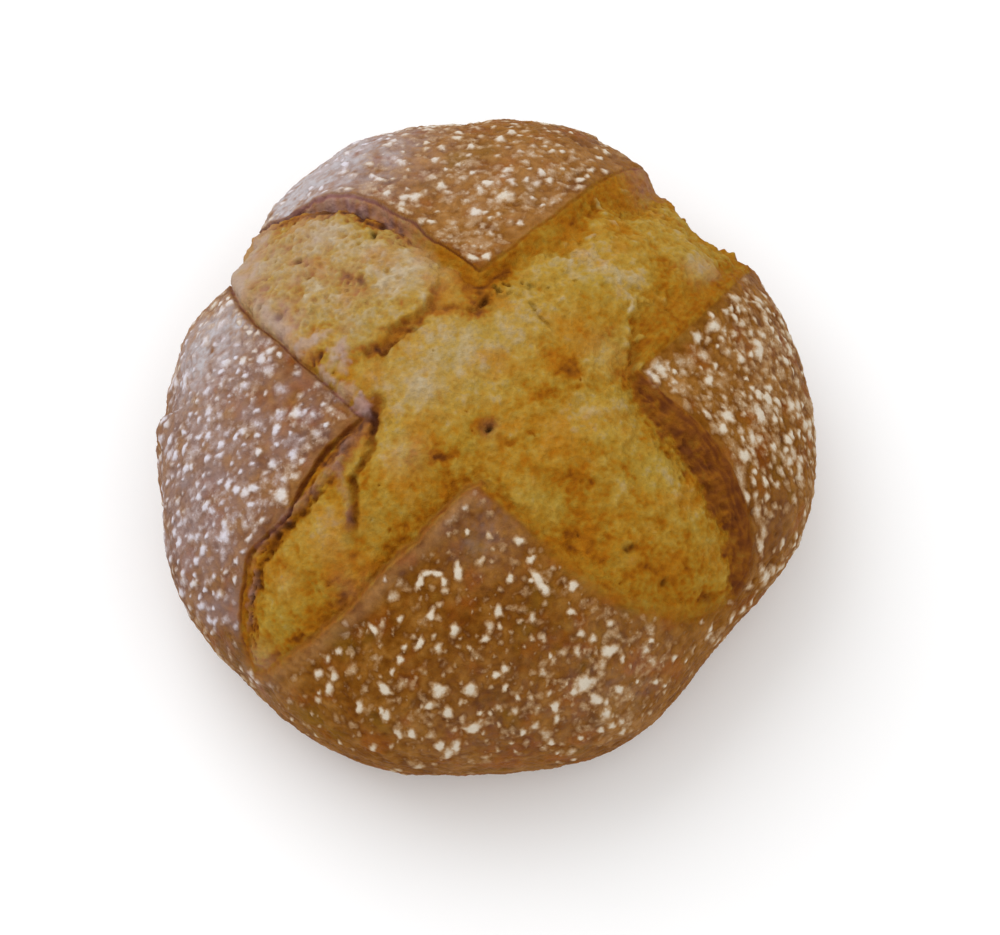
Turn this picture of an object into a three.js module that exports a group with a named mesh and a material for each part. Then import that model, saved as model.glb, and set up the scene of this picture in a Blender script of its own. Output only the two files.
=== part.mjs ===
// A round soda bread loaf, scored with a cross and baked until the cuts tore open.
// Millimetres, +Z up. The loaf lies on its flat foot at z = 0, centred on the Z axis.
//
// The crust is first laid out on a flat map: u points right and v away from the viewer, and
// the distance of a map point from the crown is its distance along the skin of the loaf.
// base() wraps the map over a plain dome. skinPoint() then lifts each point for the four crust
// petals, the star of torn crumb between them, and the crags, flap and tears in it.

import * as THREE from "three";
import { mergeVertices } from "three/addons/utils/BufferGeometryUtils.js";

// ---------------------------------------------------------------------------- sizes

const HEIGHT = 82; // the plain dome; the risen crumb stands a little above it
const WAIST_Z = 30; // where the loaf is widest
const PLAN_RADIUS = 96.5; // mean radius at the waist
const FOOT_SHARE = 0.8; // radius of the flat foot, as a share of the waist
const CROWN_POWER = 2.35; // superellipse powers of the side's outline
const SHOULDER_POWER = 2.1;
const FOOT_POWER = 2.2;

// The plan is out of round: lobes round the rim, size in mm, direction of a crest in degrees.
const PLAN_LOBES = [
  { lobes: 1, size: 3.0, crest: -122 },
  { lobes: 2, size: 2.8, crest: 78.5 },
  { lobes: 3, size: 3.0, crest: -15.5 },
  { lobes: 4, size: 2.8, crest: 4.5 },
  { lobes: 5, size: 0.7, crest: 8 },
  { lobes: 6, size: 0.8, crest: 2 },
  { lobes: 7, size: 1.0, crest: 21 },
  { lobes: 8, size: 1.7, crest: -18.5 },
];
const LOBE_FADE = [0.15, 0.75]; // the lobes grow from the crown to the rim, shares of the radius

// Mesh: rings of points on the map, six more points in each ring up to the shoulder.
const CROWN_RINGS = 27;
const CROWN_REACH = 108; // distance along the skin from the crown to the shoulder
const RIM_RINGS = 11; // from the shoulder down to the foot
const CREASE_SNAP = 1.1; // points this near a crease are moved onto it

// ---------------------------------------------------------------------------- the opening

// Where the four petals of crust point to, and where the arms of the cross end, on the map.
const TIPS = {
  north: [-1.5, 28.8],
  east: [42.1, -0.8],
  south: [-1.3, -33.9],
  west: [-34, -14.4],
};
const ARM_ENDS = {
  northEast: [93, 101],
  northWest: [-97, 82],
  southWest: [-70.5, -84],
  southEast: [82.2, -64],
};

// Each edge of a petal runs from its tip through some points to the end of an arm.
// lip: how far the crust curls up, and foot: the level of the crumb below it, each at the tip,
// midway and at the arm's end. curl: how far back the lip reaches. wall: [distance from the tip,
// width there] of the torn side. rise: how far into the opening the crumb takes to rise.
const EDGES = [
  {
    name: "northRight",
    from: "north",
    to: "northEast",
    through: [[9.4, 38.3], [22.4, 51.9], [39, 73], [52, 88], [66, 100], [80, 105]],
    lip: [2.0, 1.6, 1.0],
    wall: [[0, 3], [16, 6.5], [23, 11], [30, 10.5], [38, 5.5], [47, 5.5], [56, 10.5], [80, 9], [130, 5]],
    foot: [-0.8, -0.5, 0],
    curl: 5,
    rise: 9,
  },
  {
    name: "eastTop",
    from: "east",
    to: "northEast",
    through: [[56.6, 14.2], [68.4, 26.9], [80, 40], [91.7, 52.9], [103, 72], [105, 88]],
    lip: [2.4, 1.8, 1.0],
    wall: [[0, 3], [8, 9], [14, 13.5], [19, 14], [25, 10], [33, 7.5], [46, 5], [75, 6], [130, 4]],
    foot: [-0.8, -0.5, 0],
    curl: 5,
    rise: 9,
  },
  {
    name: "eastLow",
    from: "east",
    to: "southEast",
    through: [
      [47.4, -5.4], [53.4, -9.9], [59.5, -15.1], [65.5, -21.7], [71.3, -30.1], [77, -38.8],
      [80.8, -47.5], [83.2, -56.3],
    ],
    lip: [3.2, 4.5, 1.5],
    wall: [[0, 4.5], [10, 6.8], [45, 7], [60, 5.8], [80, 3.5]],
    foot: [-3, -3.2, -1],
    curl: 7,
    rise: 9,
  },
  {
    name: "southRight",
    from: "south",
    to: "southEast",
    through: [
      [5.2, -39.5], [11.7, -44.6], [21.7, -54.2], [30.8, -60.2], [43.1, -66.6], [62.8, -71.3],
      [72.9, -68.9],
    ],
    lip: [2.2, 1.2, 0.8],
    wall: [[0, 3], [30, 4], [60, 5], [100, 4]],
    foot: [-1, -0.3, 0],
    curl: 4,
    rise: 9,
  },
  {
    name: "southLeft",
    from: "south",
    to: "southWest",
    through: [
      [-6.6, -36.8], [-18, -47.9], [-26.2, -54.6], [-35, -63.4], [-45, -70.7], [-56.1, -77.7],
      [-64, -82.3],
    ],
    lip: [2.6, 2.4, 1.2],
    wall: [[0, 3], [90, 3]],
    foot: [-1.4, -1.4, -0.8],
    curl: 3,
    rise: 9,
  },
  {
    name: "westLow",
    from: "west",
    to: "southWest",
    through: [
      [-43, -21.8], [-47.4, -29], [-52.3, -37.8], [-59.4, -43.6], [-64.6, -48.3], [-67.4, -55.6],
      [-70.3, -65], [-71.3, -72.5],
    ],
    lip: [2.8, 3.0, 1.2],
    wall: [[0, 3], [90, 3]],
    foot: [-2.6, -3, -1.2],
    curl: 5,
    rise: 7,
  },
  {
    name: "westTop",
    from: "west",
    to: "northWest",
    through: [
      [-42.7, -5.7], [-49.7, 0.8], [-55.1, 6], [-60.4, 11.5], [-71.1, 21.6], [-85.9, 41],
      [-94, 56], [-98, 70],
    ],
    lip: [2.0, 1.6, 1.2],
    wall: [[0, 3], [120, 3]],
    foot: [-1.2, -1, -0.6],
    curl: 3,
    rise: 3,
  },
  {
    name: "northLeft",
    from: "north",
    to: "northWest",
    through: [
      [-4.3, 31.6], [-9.4, 35.3], [-15, 39.2], [-20, 44.2], [-27.8, 50.1], [-36.7, 56],
      [-45.9, 60.3], [-57.2, 64.7], [-64.4, 65.8], [-69.2, 61.5], [-75, 58.5], [-83, 60.5],
      [-90, 68],
    ],
    lip: [3.2, 4.0, 2.0],
    wall: [[0, 4.5], [15, 6], [50, 5.5], [75, 4], [130, 3]],
    foot: [-2.6, -3, -1.4],
    curl: 5,
    rise: 4,
  },
];
// Round the opening counterclockwise each petal's second edge is met before its first.
const OUTLINE_ORDER = [
  ["northRight", false],
  ["eastTop", true],
  ["eastLow", false],
  ["southRight", true],
  ["southLeft", false],
  ["westLow", true],
  ["westTop", false],
  ["northLeft", true],
];
const CURVE_STEPS = 8; // straight pieces between two points of an edge
const CRUST_SINK = 0.5; // the petals lie this much below the plain dome
const BULGE = 3.2; // the crumb rises this much above it in the middle of the opening

// ---------------------------------------------------------------------------- tears and pits

// The north-west arm's crumb is a plateau: along this line it tore off the middle.
const PLATEAU_EDGE = [
  [-31, 3.5], [-26.6, 5.6], [-21.8, 8.7], [-20.2, 15.7], [-15.4, 20.6], [-10.9, 25.3], [-9, 28.5],
];
const PLATEAU = { step: 1.8, reach: 9, drop: 0.6, dropReach: 2.5 };

// A groove, a ridge and the plateau's edge fade over this share of their length at both ends,
// down to a least strength.
const LINE_FADE = { share: 0.15, least: 0.3 };

// Grooves in the crumb: their lines on the map, depth and half width.
const GROOVES = [
  { name: "below the plateau", line: PLATEAU_EDGE, depth: 1.8, half: 3 },
  {
    name: "below the north tip",
    line: [[-17.6, 11.7], [-7.1, 17], [0.3, 18.7], [2.9, 23.6], [6.8, 25.1], [13.2, 22.6]],
    depth: 1.6,
    half: 3,
  },
  {
    name: "crevice below the west tip",
    line: [[-35.5, -17], [-36.1, -22.4], [-36.1, -29.8], [-33.9, -36], [-34.8, -41]],
    depth: 3.4,
    half: 3,
  },
  {
    name: "gap in front of the west flap",
    line: [
      [-30.6, -23], [-34.7, -27.9], [-39.2, -32.1], [-44.6, -34.2], [-53.5, -43.8],
      [-58.5, -47.5], [-62.4, -54.1], [-62.8, -58.3],
    ],
    depth: 3,
    half: 3,
  },
];

// Ridges of torn skin: their lines on the map, height and half width.
const RIDGES = [
  {
    name: "flap along the west petal's lower edge",
    line: [
      [-31.5, -14.8], [-35.5, -20.7], [-38.7, -26.1], [-44.1, -29.8], [-47.5, -35.3],
      [-51.6, -38.3], [-56, -42.3], [-62.5, -48.4], [-64.3, -51.9], [-66.7, -56.9],
    ],
    height: 2.6,
    half: 3.2,
  },
  {
    name: "scraps along the west petal's upper edge",
    line: [[-33.5, -10.5], [-38, -5], [-41, 2.5], [-47.5, 9]],
    height: 1.4,
    half: 4,
  },
];

// The pits large enough to show in the solid: place on the map, radius, depth.
const PITS = [
  { at: [1.3, -18.2], radius: 2.4, depth: 3.2 },
  { at: [-30, 4.5], radius: 3.0, depth: 2.2 },
  { at: [1.5, 20], radius: 3.0, depth: 2.4 },
];

// Lumps of the crumb and the slow swell of the petals: wavelength, height, noise seed.
const LUMPS = [
  { wave: 17, height: 1.3, seed: 21 },
  { wave: 9, height: 0.8, seed: 22 },
];
const CRAGS = { wave: 7, height: 0.55, seed: 23 };
const SWELL = { wave: 24, height: 0.5, seed: 31 };
const LIP_WAVE = { wave: 7, share: 0.25, seed: 11 };
const RIDGE_WAVE = { wave: 5, mean: 0.7, share: 0.6, seed: 41 };
const FLAT_FOOT_Z = 9; // the relief fades out below this height, so that the foot stays flat

// ---------------------------------------------------------------------------- small helpers

const TAU = 2 * Math.PI;

function smooth(low, high, x) {
  const t = Math.min(1, Math.max(0, (x - low) / (high - low)));
  return t * t * (3 - 2 * t);
}

function bump(x, centre, half) {
  const t = Math.max(0, 1 - ((x - centre) / half) ** 2);
  return t * t;
}

// Straight interpolation between values at the tip, a bit before midway and at the arm's end.
function along([atTip, midway, atEnd], share) {
  const middle = 0.45;
  if (share < middle) return atTip + ((midway - atTip) * share) / middle;
  return midway + ((atEnd - midway) * (share - middle)) / (1 - middle);
}

// Straight interpolation in a table of [distance, value].
function widthAt(table, run) {
  const next = table.findIndex(([distance]) => distance > run);
  if (next < 0) return table[table.length - 1][1];
  const [before, low] = table[next - 1];
  const [after, high] = table[next];
  return low + ((high - low) * (run - before)) / (after - before);
}

// Repeatable random bits for a point of the noise lattice.
function scramble(x, y, z, seed) {
  let bits = Math.imul(x, 0x8da6b343) + Math.imul(y, 0xd8163841);
  bits = (bits + Math.imul(z, 0xcb1ab31f) + Math.imul(seed, 0x9e3779b1)) >>> 0;
  bits ^= bits >>> 15;
  bits = Math.imul(bits, 0x2c1b3c6d) >>> 0;
  bits ^= bits >>> 12;
  bits = Math.imul(bits, 0x297a2d39) >>> 0;
  bits ^= bits >>> 15;
  return bits >>> 0;
}

// Smooth gradient noise in space, about -1 to 1.
function noise(point, wave, seed) {
  const p = [point.x / wave, point.y / wave, point.z / wave];
  const cell = p.map(Math.floor);
  const f = p.map((value, axis) => value - cell[axis]);
  const weight = f.map((t) => t * t * t * (t * (t * 6 - 15) + 10));
  let sum = 0;
  for (let corner = 0; corner < 8; corner += 1) {
    const d = [corner & 1, (corner >> 1) & 1, (corner >> 2) & 1];
    const bits = scramble(cell[0] + d[0], cell[1] + d[1], cell[2] + d[2], seed);
    let slope = 0;
    let share = 1;
    for (let axis = 0; axis < 3; axis += 1) {
      slope += (((bits >>> (10 * axis)) & 1023) / 511.5 - 1) * (f[axis] - d[axis]);
      share *= d[axis] ? weight[axis] : 1 - weight[axis];
    }
    sum += slope * share;
  }
  return sum * 1.6;
}

function catmullRom(points, steps) {
  const first = points[0];
  const last = points[points.length - 1];
  const before = [2 * first[0] - points[1][0], 2 * first[1] - points[1][1]];
  const nextToLast = points[points.length - 2];
  const after = [2 * last[0] - nextToLast[0], 2 * last[1] - nextToLast[1]];
  const all = [before, ...points, after];
  const curve = [];
  for (let k = 1; k < all.length - 2; k += 1) {
    for (let step = 0; step < steps; step += 1) {
      const t = step / steps;
      curve.push([0, 1].map((axis) => {
        const [a, b, c, d] = [all[k - 1][axis], all[k][axis], all[k + 1][axis], all[k + 2][axis]];
        const square = (2 * a - 5 * b + 4 * c - d) * t * t;
        const cube = (3 * b - a - 3 * c + d) * t * t * t;
        return 0.5 * (2 * b + (c - a) * t + square + cube);
      }));
    }
  }
  curve.push(last);
  return curve;
}

// The nearest point of a curve: its distance, place, share of the curve's length before it,
// and which side of the curve the map point is on (+1 left, -1 right).
function nearest(curve, u, v) {
  let best = { distance: Infinity, at: curve[0], run: 0, side: 1 };
  let run = 0;
  for (let k = 0; k + 1 < curve.length; k += 1) {
    const [au, av] = curve[k];
    const du = curve[k + 1][0] - au;
    const dv = curve[k + 1][1] - av;
    const length = Math.hypot(du, dv);
    const reach = ((u - au) * du + (v - av) * dv) / (length * length);
    const t = Math.min(1, Math.max(0, reach));
    const at = [au + t * du, av + t * dv];
    const distance = Math.hypot(u - at[0], v - at[1]);
    if (distance < best.distance) {
      const side = Math.sign(du * (v - av) - dv * (u - au));
      best = { distance, at, run: run + t * length, side };
    }
    run += length;
  }
  return { ...best, share: best.run / run };
}

function isInside(outline, u, v) {
  let inside = false;
  for (let k = 0; k < outline.length; k += 1) {
    const [au, av] = outline[k];
    const [bu, bv] = outline[(k + 1) % outline.length];
    if (av > v !== bv > v && u < au + ((bu - au) * (v - av)) / (bv - av)) inside = !inside;
  }
  return inside;
}

// ---------------------------------------------------------------------------- the plain dome

// The side's outline from the crown to the foot: at each distance along the skin, the share
// of the plan radius and the height.
function sideOutline(steps) {
  const table = [];
  let run = 0;
  const add = (share, z) => {
    const last = table[table.length - 1];
    if (last) run += Math.hypot((share - last.share) * PLAN_RADIUS, z - last.z);
    table.push({ run, share, z });
  };
  for (let k = 0; k <= steps; k += 1) {
    const a = ((k / steps) * Math.PI) / 2;
    const rise = Math.max(0, Math.cos(a)) ** (2 / SHOULDER_POWER);
    add(Math.sin(a) ** (2 / CROWN_POWER), WAIST_Z + (HEIGHT - WAIST_Z) * rise);
  }
  for (let k = 1; k <= steps; k += 1) {
    const a = ((k / steps) * Math.PI) / 2;
    const tuck = Math.max(0, Math.cos(a)) ** (2 / FOOT_POWER);
    const z = WAIST_Z * (1 - Math.sin(a) ** (2 / FOOT_POWER));
    add(FOOT_SHARE + (1 - FOOT_SHARE) * tuck, z);
  }
  return table;
}

const SIDE = sideOutline(600);
const SKIN_REACH = SIDE[SIDE.length - 1].run;

function sideAt(run) {
  const goal = Math.min(run, SKIN_REACH);
  let low = 0;
  let high = SIDE.length - 1;
  while (high - low > 1) {
    const middle = (low + high) >> 1;
    if (SIDE[middle].run <= goal) low = middle;
    else high = middle;
  }
  const a = SIDE[low];
  const b = SIDE[high];
  const t = (goal - a.run) / (b.run - a.run);
  return { share: a.share + t * (b.share - a.share), z: a.z + t * (b.z - a.z) };
}

function planRadius(angle) {
  let radius = PLAN_RADIUS;
  for (const { lobes, size, crest } of PLAN_LOBES) {
    radius += size * Math.cos(lobes * (angle - THREE.MathUtils.degToRad(crest)));
  }
  return radius;
}

function base(u, v) {
  const { share, z } = sideAt(Math.hypot(u, v));
  const angle = Math.atan2(v, u);
  const fade = smooth(LOBE_FADE[0], LOBE_FADE[1], share);
  const radius = (PLAN_RADIUS + (planRadius(angle) - PLAN_RADIUS) * fade) * share;
  return new THREE.Vector3(radius * Math.cos(angle), radius * Math.sin(angle), z);
}

function baseNormal(u, v) {
  const step = 0.4;
  const acrossU = base(u + step, v).sub(base(u - step, v));
  const acrossV = base(u, v + step).sub(base(u, v - step));
  return acrossU.cross(acrossV).normalize();
}

// ---------------------------------------------------------------------------- the relief

for (const edge of EDGES) {
  edge.curve = catmullRom([TIPS[edge.from], ...edge.through, ARM_ENDS[edge.to]], CURVE_STEPS);
}
const OUTLINE = OUTLINE_ORDER.flatMap(([name, inward]) => {
  const { curve } = EDGES.find((edge) => edge.name === name);
  const run = inward ? [...curve].reverse() : curve;
  return run.slice(0, -1);
});
const PLATEAU_CURVE = catmullRom(PLATEAU_EDGE, CURVE_STEPS);
for (const line of [...GROOVES, ...RIDGES]) line.curve = catmullRom(line.line, CURVE_STEPS);

// How the petals' edges act at a map point: every edge counts by how near it is.
function edgeMix(u, v) {
  const near = EDGES.map((edge) => ({ edge, ...nearest(edge.curve, u, v) }));
  const weights = near.map(({ distance }) => (distance + 0.5) ** -4);
  const total = weights.reduce((sum, weight) => sum + weight, 0);
  const mix = { lip: 0, wall: 0, foot: 0, curl: 0, rise: 0 };
  near.forEach(({ edge, share, run }, k) => {
    const weight = weights[k] / total;
    mix.lip += weight * along(edge.lip, share);
    mix.wall += weight * widthAt(edge.wall, run);
    mix.foot += weight * along(edge.foot, share);
    mix.curl += weight * edge.curl;
    mix.rise += weight * edge.rise;
  });
  near.sort((a, b) => a.distance - b.distance);
  return { ...mix, distance: near[0].distance, at: near[0].at };
}

// The lip, the torn wall below it, and the crumb that rises towards the middle.
function openingHeight(mix, into, onCrust, point) {
  const lip = mix.lip * (1 + LIP_WAVE.share * noise(point, LIP_WAVE.wave, LIP_WAVE.seed));
  if (onCrust) return lip * Math.exp(-mix.distance / mix.curl) - CRUST_SINK;
  const drop = smooth(0, 1, into / mix.wall);
  const wall = (lip - CRUST_SINK) * (1 - drop) + mix.foot * drop;
  const risen = 1 - Math.exp(-Math.max(into - mix.wall, 0) / mix.rise);
  return wall + (BULGE - mix.foot) * risen;
}

function crumbHeight(point) {
  let height = 0;
  for (const lump of LUMPS) height += lump.height * noise(point, lump.wave, lump.seed);
  return height + CRAGS.height * (1 - 2 * Math.abs(noise(point, CRAGS.wave, CRAGS.seed)));
}

function fadeAtEnds(share) {
  return Math.max(LINE_FADE.least, smooth(0, LINE_FADE.share, Math.min(share, 1 - share)));
}

function plateauHeight(u, v) {
  const { distance, share, side } = nearest(PLATEAU_CURVE, u, v);
  const above = PLATEAU.step * Math.exp(-distance / PLATEAU.reach);
  const below = -PLATEAU.drop * Math.exp(-distance / PLATEAU.dropReach);
  return (side > 0 ? above : below) * fadeAtEnds(share);
}

function lineHeight({ curve, half }, u, v) {
  const { distance, share } = nearest(curve, u, v);
  return bump(distance, 0, half) * fadeAtEnds(share);
}

function tornHeight(u, v, point) {
  const ragged = RIDGE_WAVE.mean + RIDGE_WAVE.share * noise(point, RIDGE_WAVE.wave, RIDGE_WAVE.seed);
  let height = 0;
  for (const ridge of RIDGES) height += ridge.height * ragged * lineHeight(ridge, u, v);
  for (const groove of GROOVES) height -= groove.depth * lineHeight(groove, u, v);
  for (const { at, radius, depth } of PITS) {
    height -= depth * Math.exp(-((Math.hypot(u - at[0], v - at[1]) / radius) ** 2));
  }
  return height;
}

// How the edges act at a map point, and how far it lies from the opening's edge: into the crumb
// (+) or out on the crust (-).
function intoCrumb(u, v) {
  const mix = edgeMix(u, v);
  return { mix, into: isInside(OUTLINE, u, v) ? mix.distance : -mix.distance };
}

// A point of the finished skin. onEdge: the point lies on the opening's edge, so it is crust.
function skinPoint({ u, v, onEdge }) {
  const { mix, into: depth } = intoCrumb(u, v);
  const onCrust = onEdge || depth < 0;
  const into = onCrust ? 0 : depth;
  const point = base(u, v);
  const torn = smooth(0.4, 1.2, into / mix.wall);
  let height = openingHeight(mix, into, onCrust, point);
  height += (1 - torn) * SWELL.height * noise(point, SWELL.wave, SWELL.seed);
  height += torn * (crumbHeight(point) + plateauHeight(u, v));
  if (!onCrust) height += tornHeight(u, v, point);
  height *= smooth(0, FLAT_FOOT_Z, point.z);
  return point.addScaledVector(baseNormal(u, v), height);
}

// ---------------------------------------------------------------------------- the flat mesh

function ringRadius(ring) {
  if (ring <= CROWN_RINGS) return (CROWN_REACH * ring) / CROWN_RINGS;
  return CROWN_REACH + ((SKIN_REACH - CROWN_REACH) * (ring - CROWN_RINGS)) / RIM_RINGS;
}

// Rings of map points joined by triangles: the crown's rings grow by six points each, and the
// rim's rings keep their number.
function flatMesh() {
  const points = [];
  const triangles = [];
  const rings = [];
  for (let ring = 0; ring <= CROWN_RINGS + RIM_RINGS; ring += 1) {
    const count = Math.max(1, 6 * Math.min(ring, CROWN_RINGS));
    const radius = ringRadius(ring);
    const indices = [];
    for (let k = 0; k < count; k += 1) {
      const angle = (TAU * k) / count;
      indices.push(points.length);
      points.push({ u: radius * Math.cos(angle), v: radius * Math.sin(angle), onEdge: false });
    }
    rings.push(indices);
  }
  for (let ring = 1; ring < rings.length; ring += 1) {
    const inner = rings[ring - 1];
    const outer = rings[ring];
    const grows = outer.length > inner.length;
    for (let k = 0; k < outer.length; k += 1) {
      const sector = grows ? Math.floor(k / ring) : 0;
      const own = inner[(k - sector) % inner.length];
      const next = inner[(k - sector + 1) % inner.length];
      const outerNext = outer[(k + 1) % outer.length];
      triangles.push([own, outer[k], outerNext]);
      const lastOfSector = grows && k % ring === ring - 1;
      if (!lastOfSector) triangles.push([own, outerNext, next]);
    }
  }
  return { points, triangles, rim: rings[rings.length - 1] };
}

// Cuts the mesh along a line where levelOf(point) is zero, so that it can crease there. Points
// already near the line are moved onto it, and a side that crosses it gets a new point.
function creaseAlong(mesh, levelOf, ontoLine) {
  const { points, triangles } = mesh;
  const levels = points.map((point) => levelOf(point));
  points.forEach((point, k) => {
    if (Math.abs(levels[k]) > CREASE_SNAP || point.onEdge) return;
    Object.assign(point, ontoLine(point));
    levels[k] = 0;
  });
  const cuts = new Map();
  const cutPoint = (a, b) => {
    const key = a < b ? `${a},${b}` : `${b},${a}`;
    if (!cuts.has(key)) {
      const t = levels[a] / (levels[a] - levels[b]);
      const u = points[a].u + t * (points[b].u - points[a].u);
      const v = points[a].v + t * (points[b].v - points[a].v);
      cuts.set(key, points.length);
      points.push(ontoLine({ u, v, onEdge: false }));
      levels.push(0);
    }
    return cuts.get(key);
  };
  const crosses = (a, b) => levels[a] * levels[b] < 0;
  mesh.triangles = triangles.flatMap(([a, b, c]) => {
    const crossed = [crosses(a, b), crosses(b, c), crosses(c, a)];
    const number = crossed.filter(Boolean).length;
    if (number === 0) return [[a, b, c]];
    if (number === 1) {
      // turned so that the crossed side is the one opposite the first corner
      const [p, q, r] = crossed[0] ? [c, a, b] : crossed[1] ? [a, b, c] : [b, c, a];
      const cut = cutPoint(q, r);
      return [[p, q, cut], [p, cut, r]];
    }
    // turned so that the first corner is alone on its side of the line
    const [p, q, r] = !crossed[1] ? [a, b, c] : !crossed[2] ? [b, c, a] : [c, a, b];
    const cutQ = cutPoint(p, q);
    const cutR = cutPoint(p, r);
    return [[p, cutQ, cutR], [cutQ, q, r], [cutQ, r, cutR]];
  });
}

function ontoEdge({ u, v }) {
  const { at } = edgeMix(u, v);
  return { u: at[0], v: at[1], onEdge: true };
}

function ontoWallFoot({ u, v }) {
  const { at, distance, wall } = edgeMix(u, v);
  const stretch = wall / distance;
  return { u: at[0] + (u - at[0]) * stretch, v: at[1] + (v - at[1]) * stretch, onEdge: false };
}

function levelAtEdge({ u, v }) {
  return intoCrumb(u, v).into;
}

function levelAtWallFoot({ u, v, onEdge }) {
  const { mix, into } = intoCrumb(u, v);
  return (onEdge ? 0 : into) - mix.wall;
}

// ---------------------------------------------------------------------------- the loaf

// The creased flat mesh, wrapped over the dome and closed by a flat fan under the foot.
function loafGeometry() {
  const mesh = flatMesh();
  creaseAlong(mesh, levelAtEdge, ontoEdge);
  creaseAlong(mesh, levelAtWallFoot, ontoWallFoot);
  const skin = mesh.points.map(skinPoint);
  const footCentre = skin.length;
  skin.push(new THREE.Vector3(0, 0, 0));
  mesh.rim.forEach((index, k) => {
    mesh.triangles.push([index, footCentre, mesh.rim[(k + 1) % mesh.rim.length]]);
  });
  const geometry = new THREE.BufferGeometry();
  geometry.setAttribute("position", new THREE.Float32BufferAttribute(skin.flatMap((p) => [...p]), 3));
  geometry.setIndex(mesh.triangles.flat());
  const welded = mergeVertices(geometry, 1e-4);
  welded.computeBoundingBox();
  const centre = welded.boundingBox.getCenter(new THREE.Vector3());
  welded.translate(-centre.x, -centre.y, 0);
  welded.computeVertexNormals();
  return welded;
}

const crust = new THREE.MeshStandardMaterial({ color: 0xa8733c, roughness: 0.8, metalness: 0 });
const loaf = new THREE.Mesh(loafGeometry(), crust);
loaf.name = "loaf";

const group = new THREE.Group();
group.add(loaf);

export default group;
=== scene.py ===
import itertools
import math

import bpy
import numpy as np
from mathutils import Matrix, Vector
from mathutils.kdtree import KDTree


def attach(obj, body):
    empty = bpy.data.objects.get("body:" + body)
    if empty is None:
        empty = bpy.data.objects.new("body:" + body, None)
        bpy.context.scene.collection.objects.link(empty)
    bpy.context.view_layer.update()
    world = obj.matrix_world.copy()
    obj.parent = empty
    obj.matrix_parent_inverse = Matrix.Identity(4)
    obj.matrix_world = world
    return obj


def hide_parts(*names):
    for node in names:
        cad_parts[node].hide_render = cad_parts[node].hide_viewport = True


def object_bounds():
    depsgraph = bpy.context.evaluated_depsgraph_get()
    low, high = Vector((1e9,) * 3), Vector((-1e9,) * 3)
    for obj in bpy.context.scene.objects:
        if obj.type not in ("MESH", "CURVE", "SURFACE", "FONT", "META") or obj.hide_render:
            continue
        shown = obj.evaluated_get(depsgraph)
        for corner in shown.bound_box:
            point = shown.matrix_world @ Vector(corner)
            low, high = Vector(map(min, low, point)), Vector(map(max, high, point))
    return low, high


# The visual model of a round soda bread loaf. Lengths are millimetres until the mesh is made.
# The skin is laid out on a flat map: u points right and v away from the viewer, and a map
# point's distance from the crown is its distance along the skin.

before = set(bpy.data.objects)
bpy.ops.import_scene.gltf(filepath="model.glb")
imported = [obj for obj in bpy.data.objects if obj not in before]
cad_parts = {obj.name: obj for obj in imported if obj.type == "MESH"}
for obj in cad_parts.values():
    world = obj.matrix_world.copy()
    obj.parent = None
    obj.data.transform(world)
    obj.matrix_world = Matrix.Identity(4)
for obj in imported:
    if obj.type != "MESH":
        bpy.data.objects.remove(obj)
CAD_LOW, CAD_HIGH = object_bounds()
MM = 0.001

# ---- the camera and the stage
ELEVATION = 70.0  # degrees above the horizon
DISTANCE = 700.0  # from the point looked at
LOOK_AT = (4.08, -10.52, 31.17)
LENS, SENSOR = 87.14, 36.0

WORLD_STRENGTH = 0.90
LIGHT_AIM = (0, 0, 0.04)  # metres, as the lights' distances and sizes are
LIGHTS = [
    dict(name="key", azimuth=-140, elevation=48, distance=1.5, size=1.4, power=11, colour=(0.94, 0.96, 1)),
    dict(name="fill", azimuth=50, elevation=60, distance=1.6, size=1.4, power=2, colour=(1, 0.95, 0.88)),
]
FLOOR_HALF, FLOOR_GAP = 4.0, 0.0002  # metres
FLOOR_GREYS = [(0.3, (0.93, 0.93, 0.93, 1)), (0.7, (0.95, 0.95, 0.95, 1))]

# ---- the loaf's plain form
HEIGHT, WAIST_Z, PLAN_RADIUS = 82.0, 30.0, 96.5
FOOT_SHARE = 0.80  # of the plan's radius, where the loaf stands on the floor
CROWN_POWER, SHOULDER_POWER, FOOT_POWER = 2.35, 2.10, 2.20
PLAN_LOBES = [  # lobes round the rim, size, direction of a crest in degrees
    (1, 3.0, -122), (2, 2.8, 78.5), (3, 3.0, -15.5), (4, 2.8, 4.5),
    (5, 0.7, 8), (6, 0.8, 2), (7, 1.0, 21), (8, 1.7, -18.5),
]
LOBE_FADE = (0.15, 0.75)  # the lobes grow between these shares of the radius
FLAT_FOOT_Z = 9.0  # the relief fades out below this height
BOX_SHARE = 0.9995  # how much of the solid's box the mesh fills

CROWN_RINGS, CROWN_REACH = 270, 116.0  # fine rings, and how far along the skin they reach
RIM_RINGS = 62
FOOT_SHARES = (0.985, 0.95, 0.88, 0.76, 0.58, 0.36, 0.14)  # rings under the foot

# ---- the opening
TIPS = {"north": (-1.5, 28.8), "east": (42.1, -0.8), "south": (-1.3, -33.9), "west": (-34.0, -14.4)}
ARM_ENDS = {"ne": (93, 101), "nw": (-97, 82), "sw": (-70.5, -84), "se": (82.2, -64)}

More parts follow.
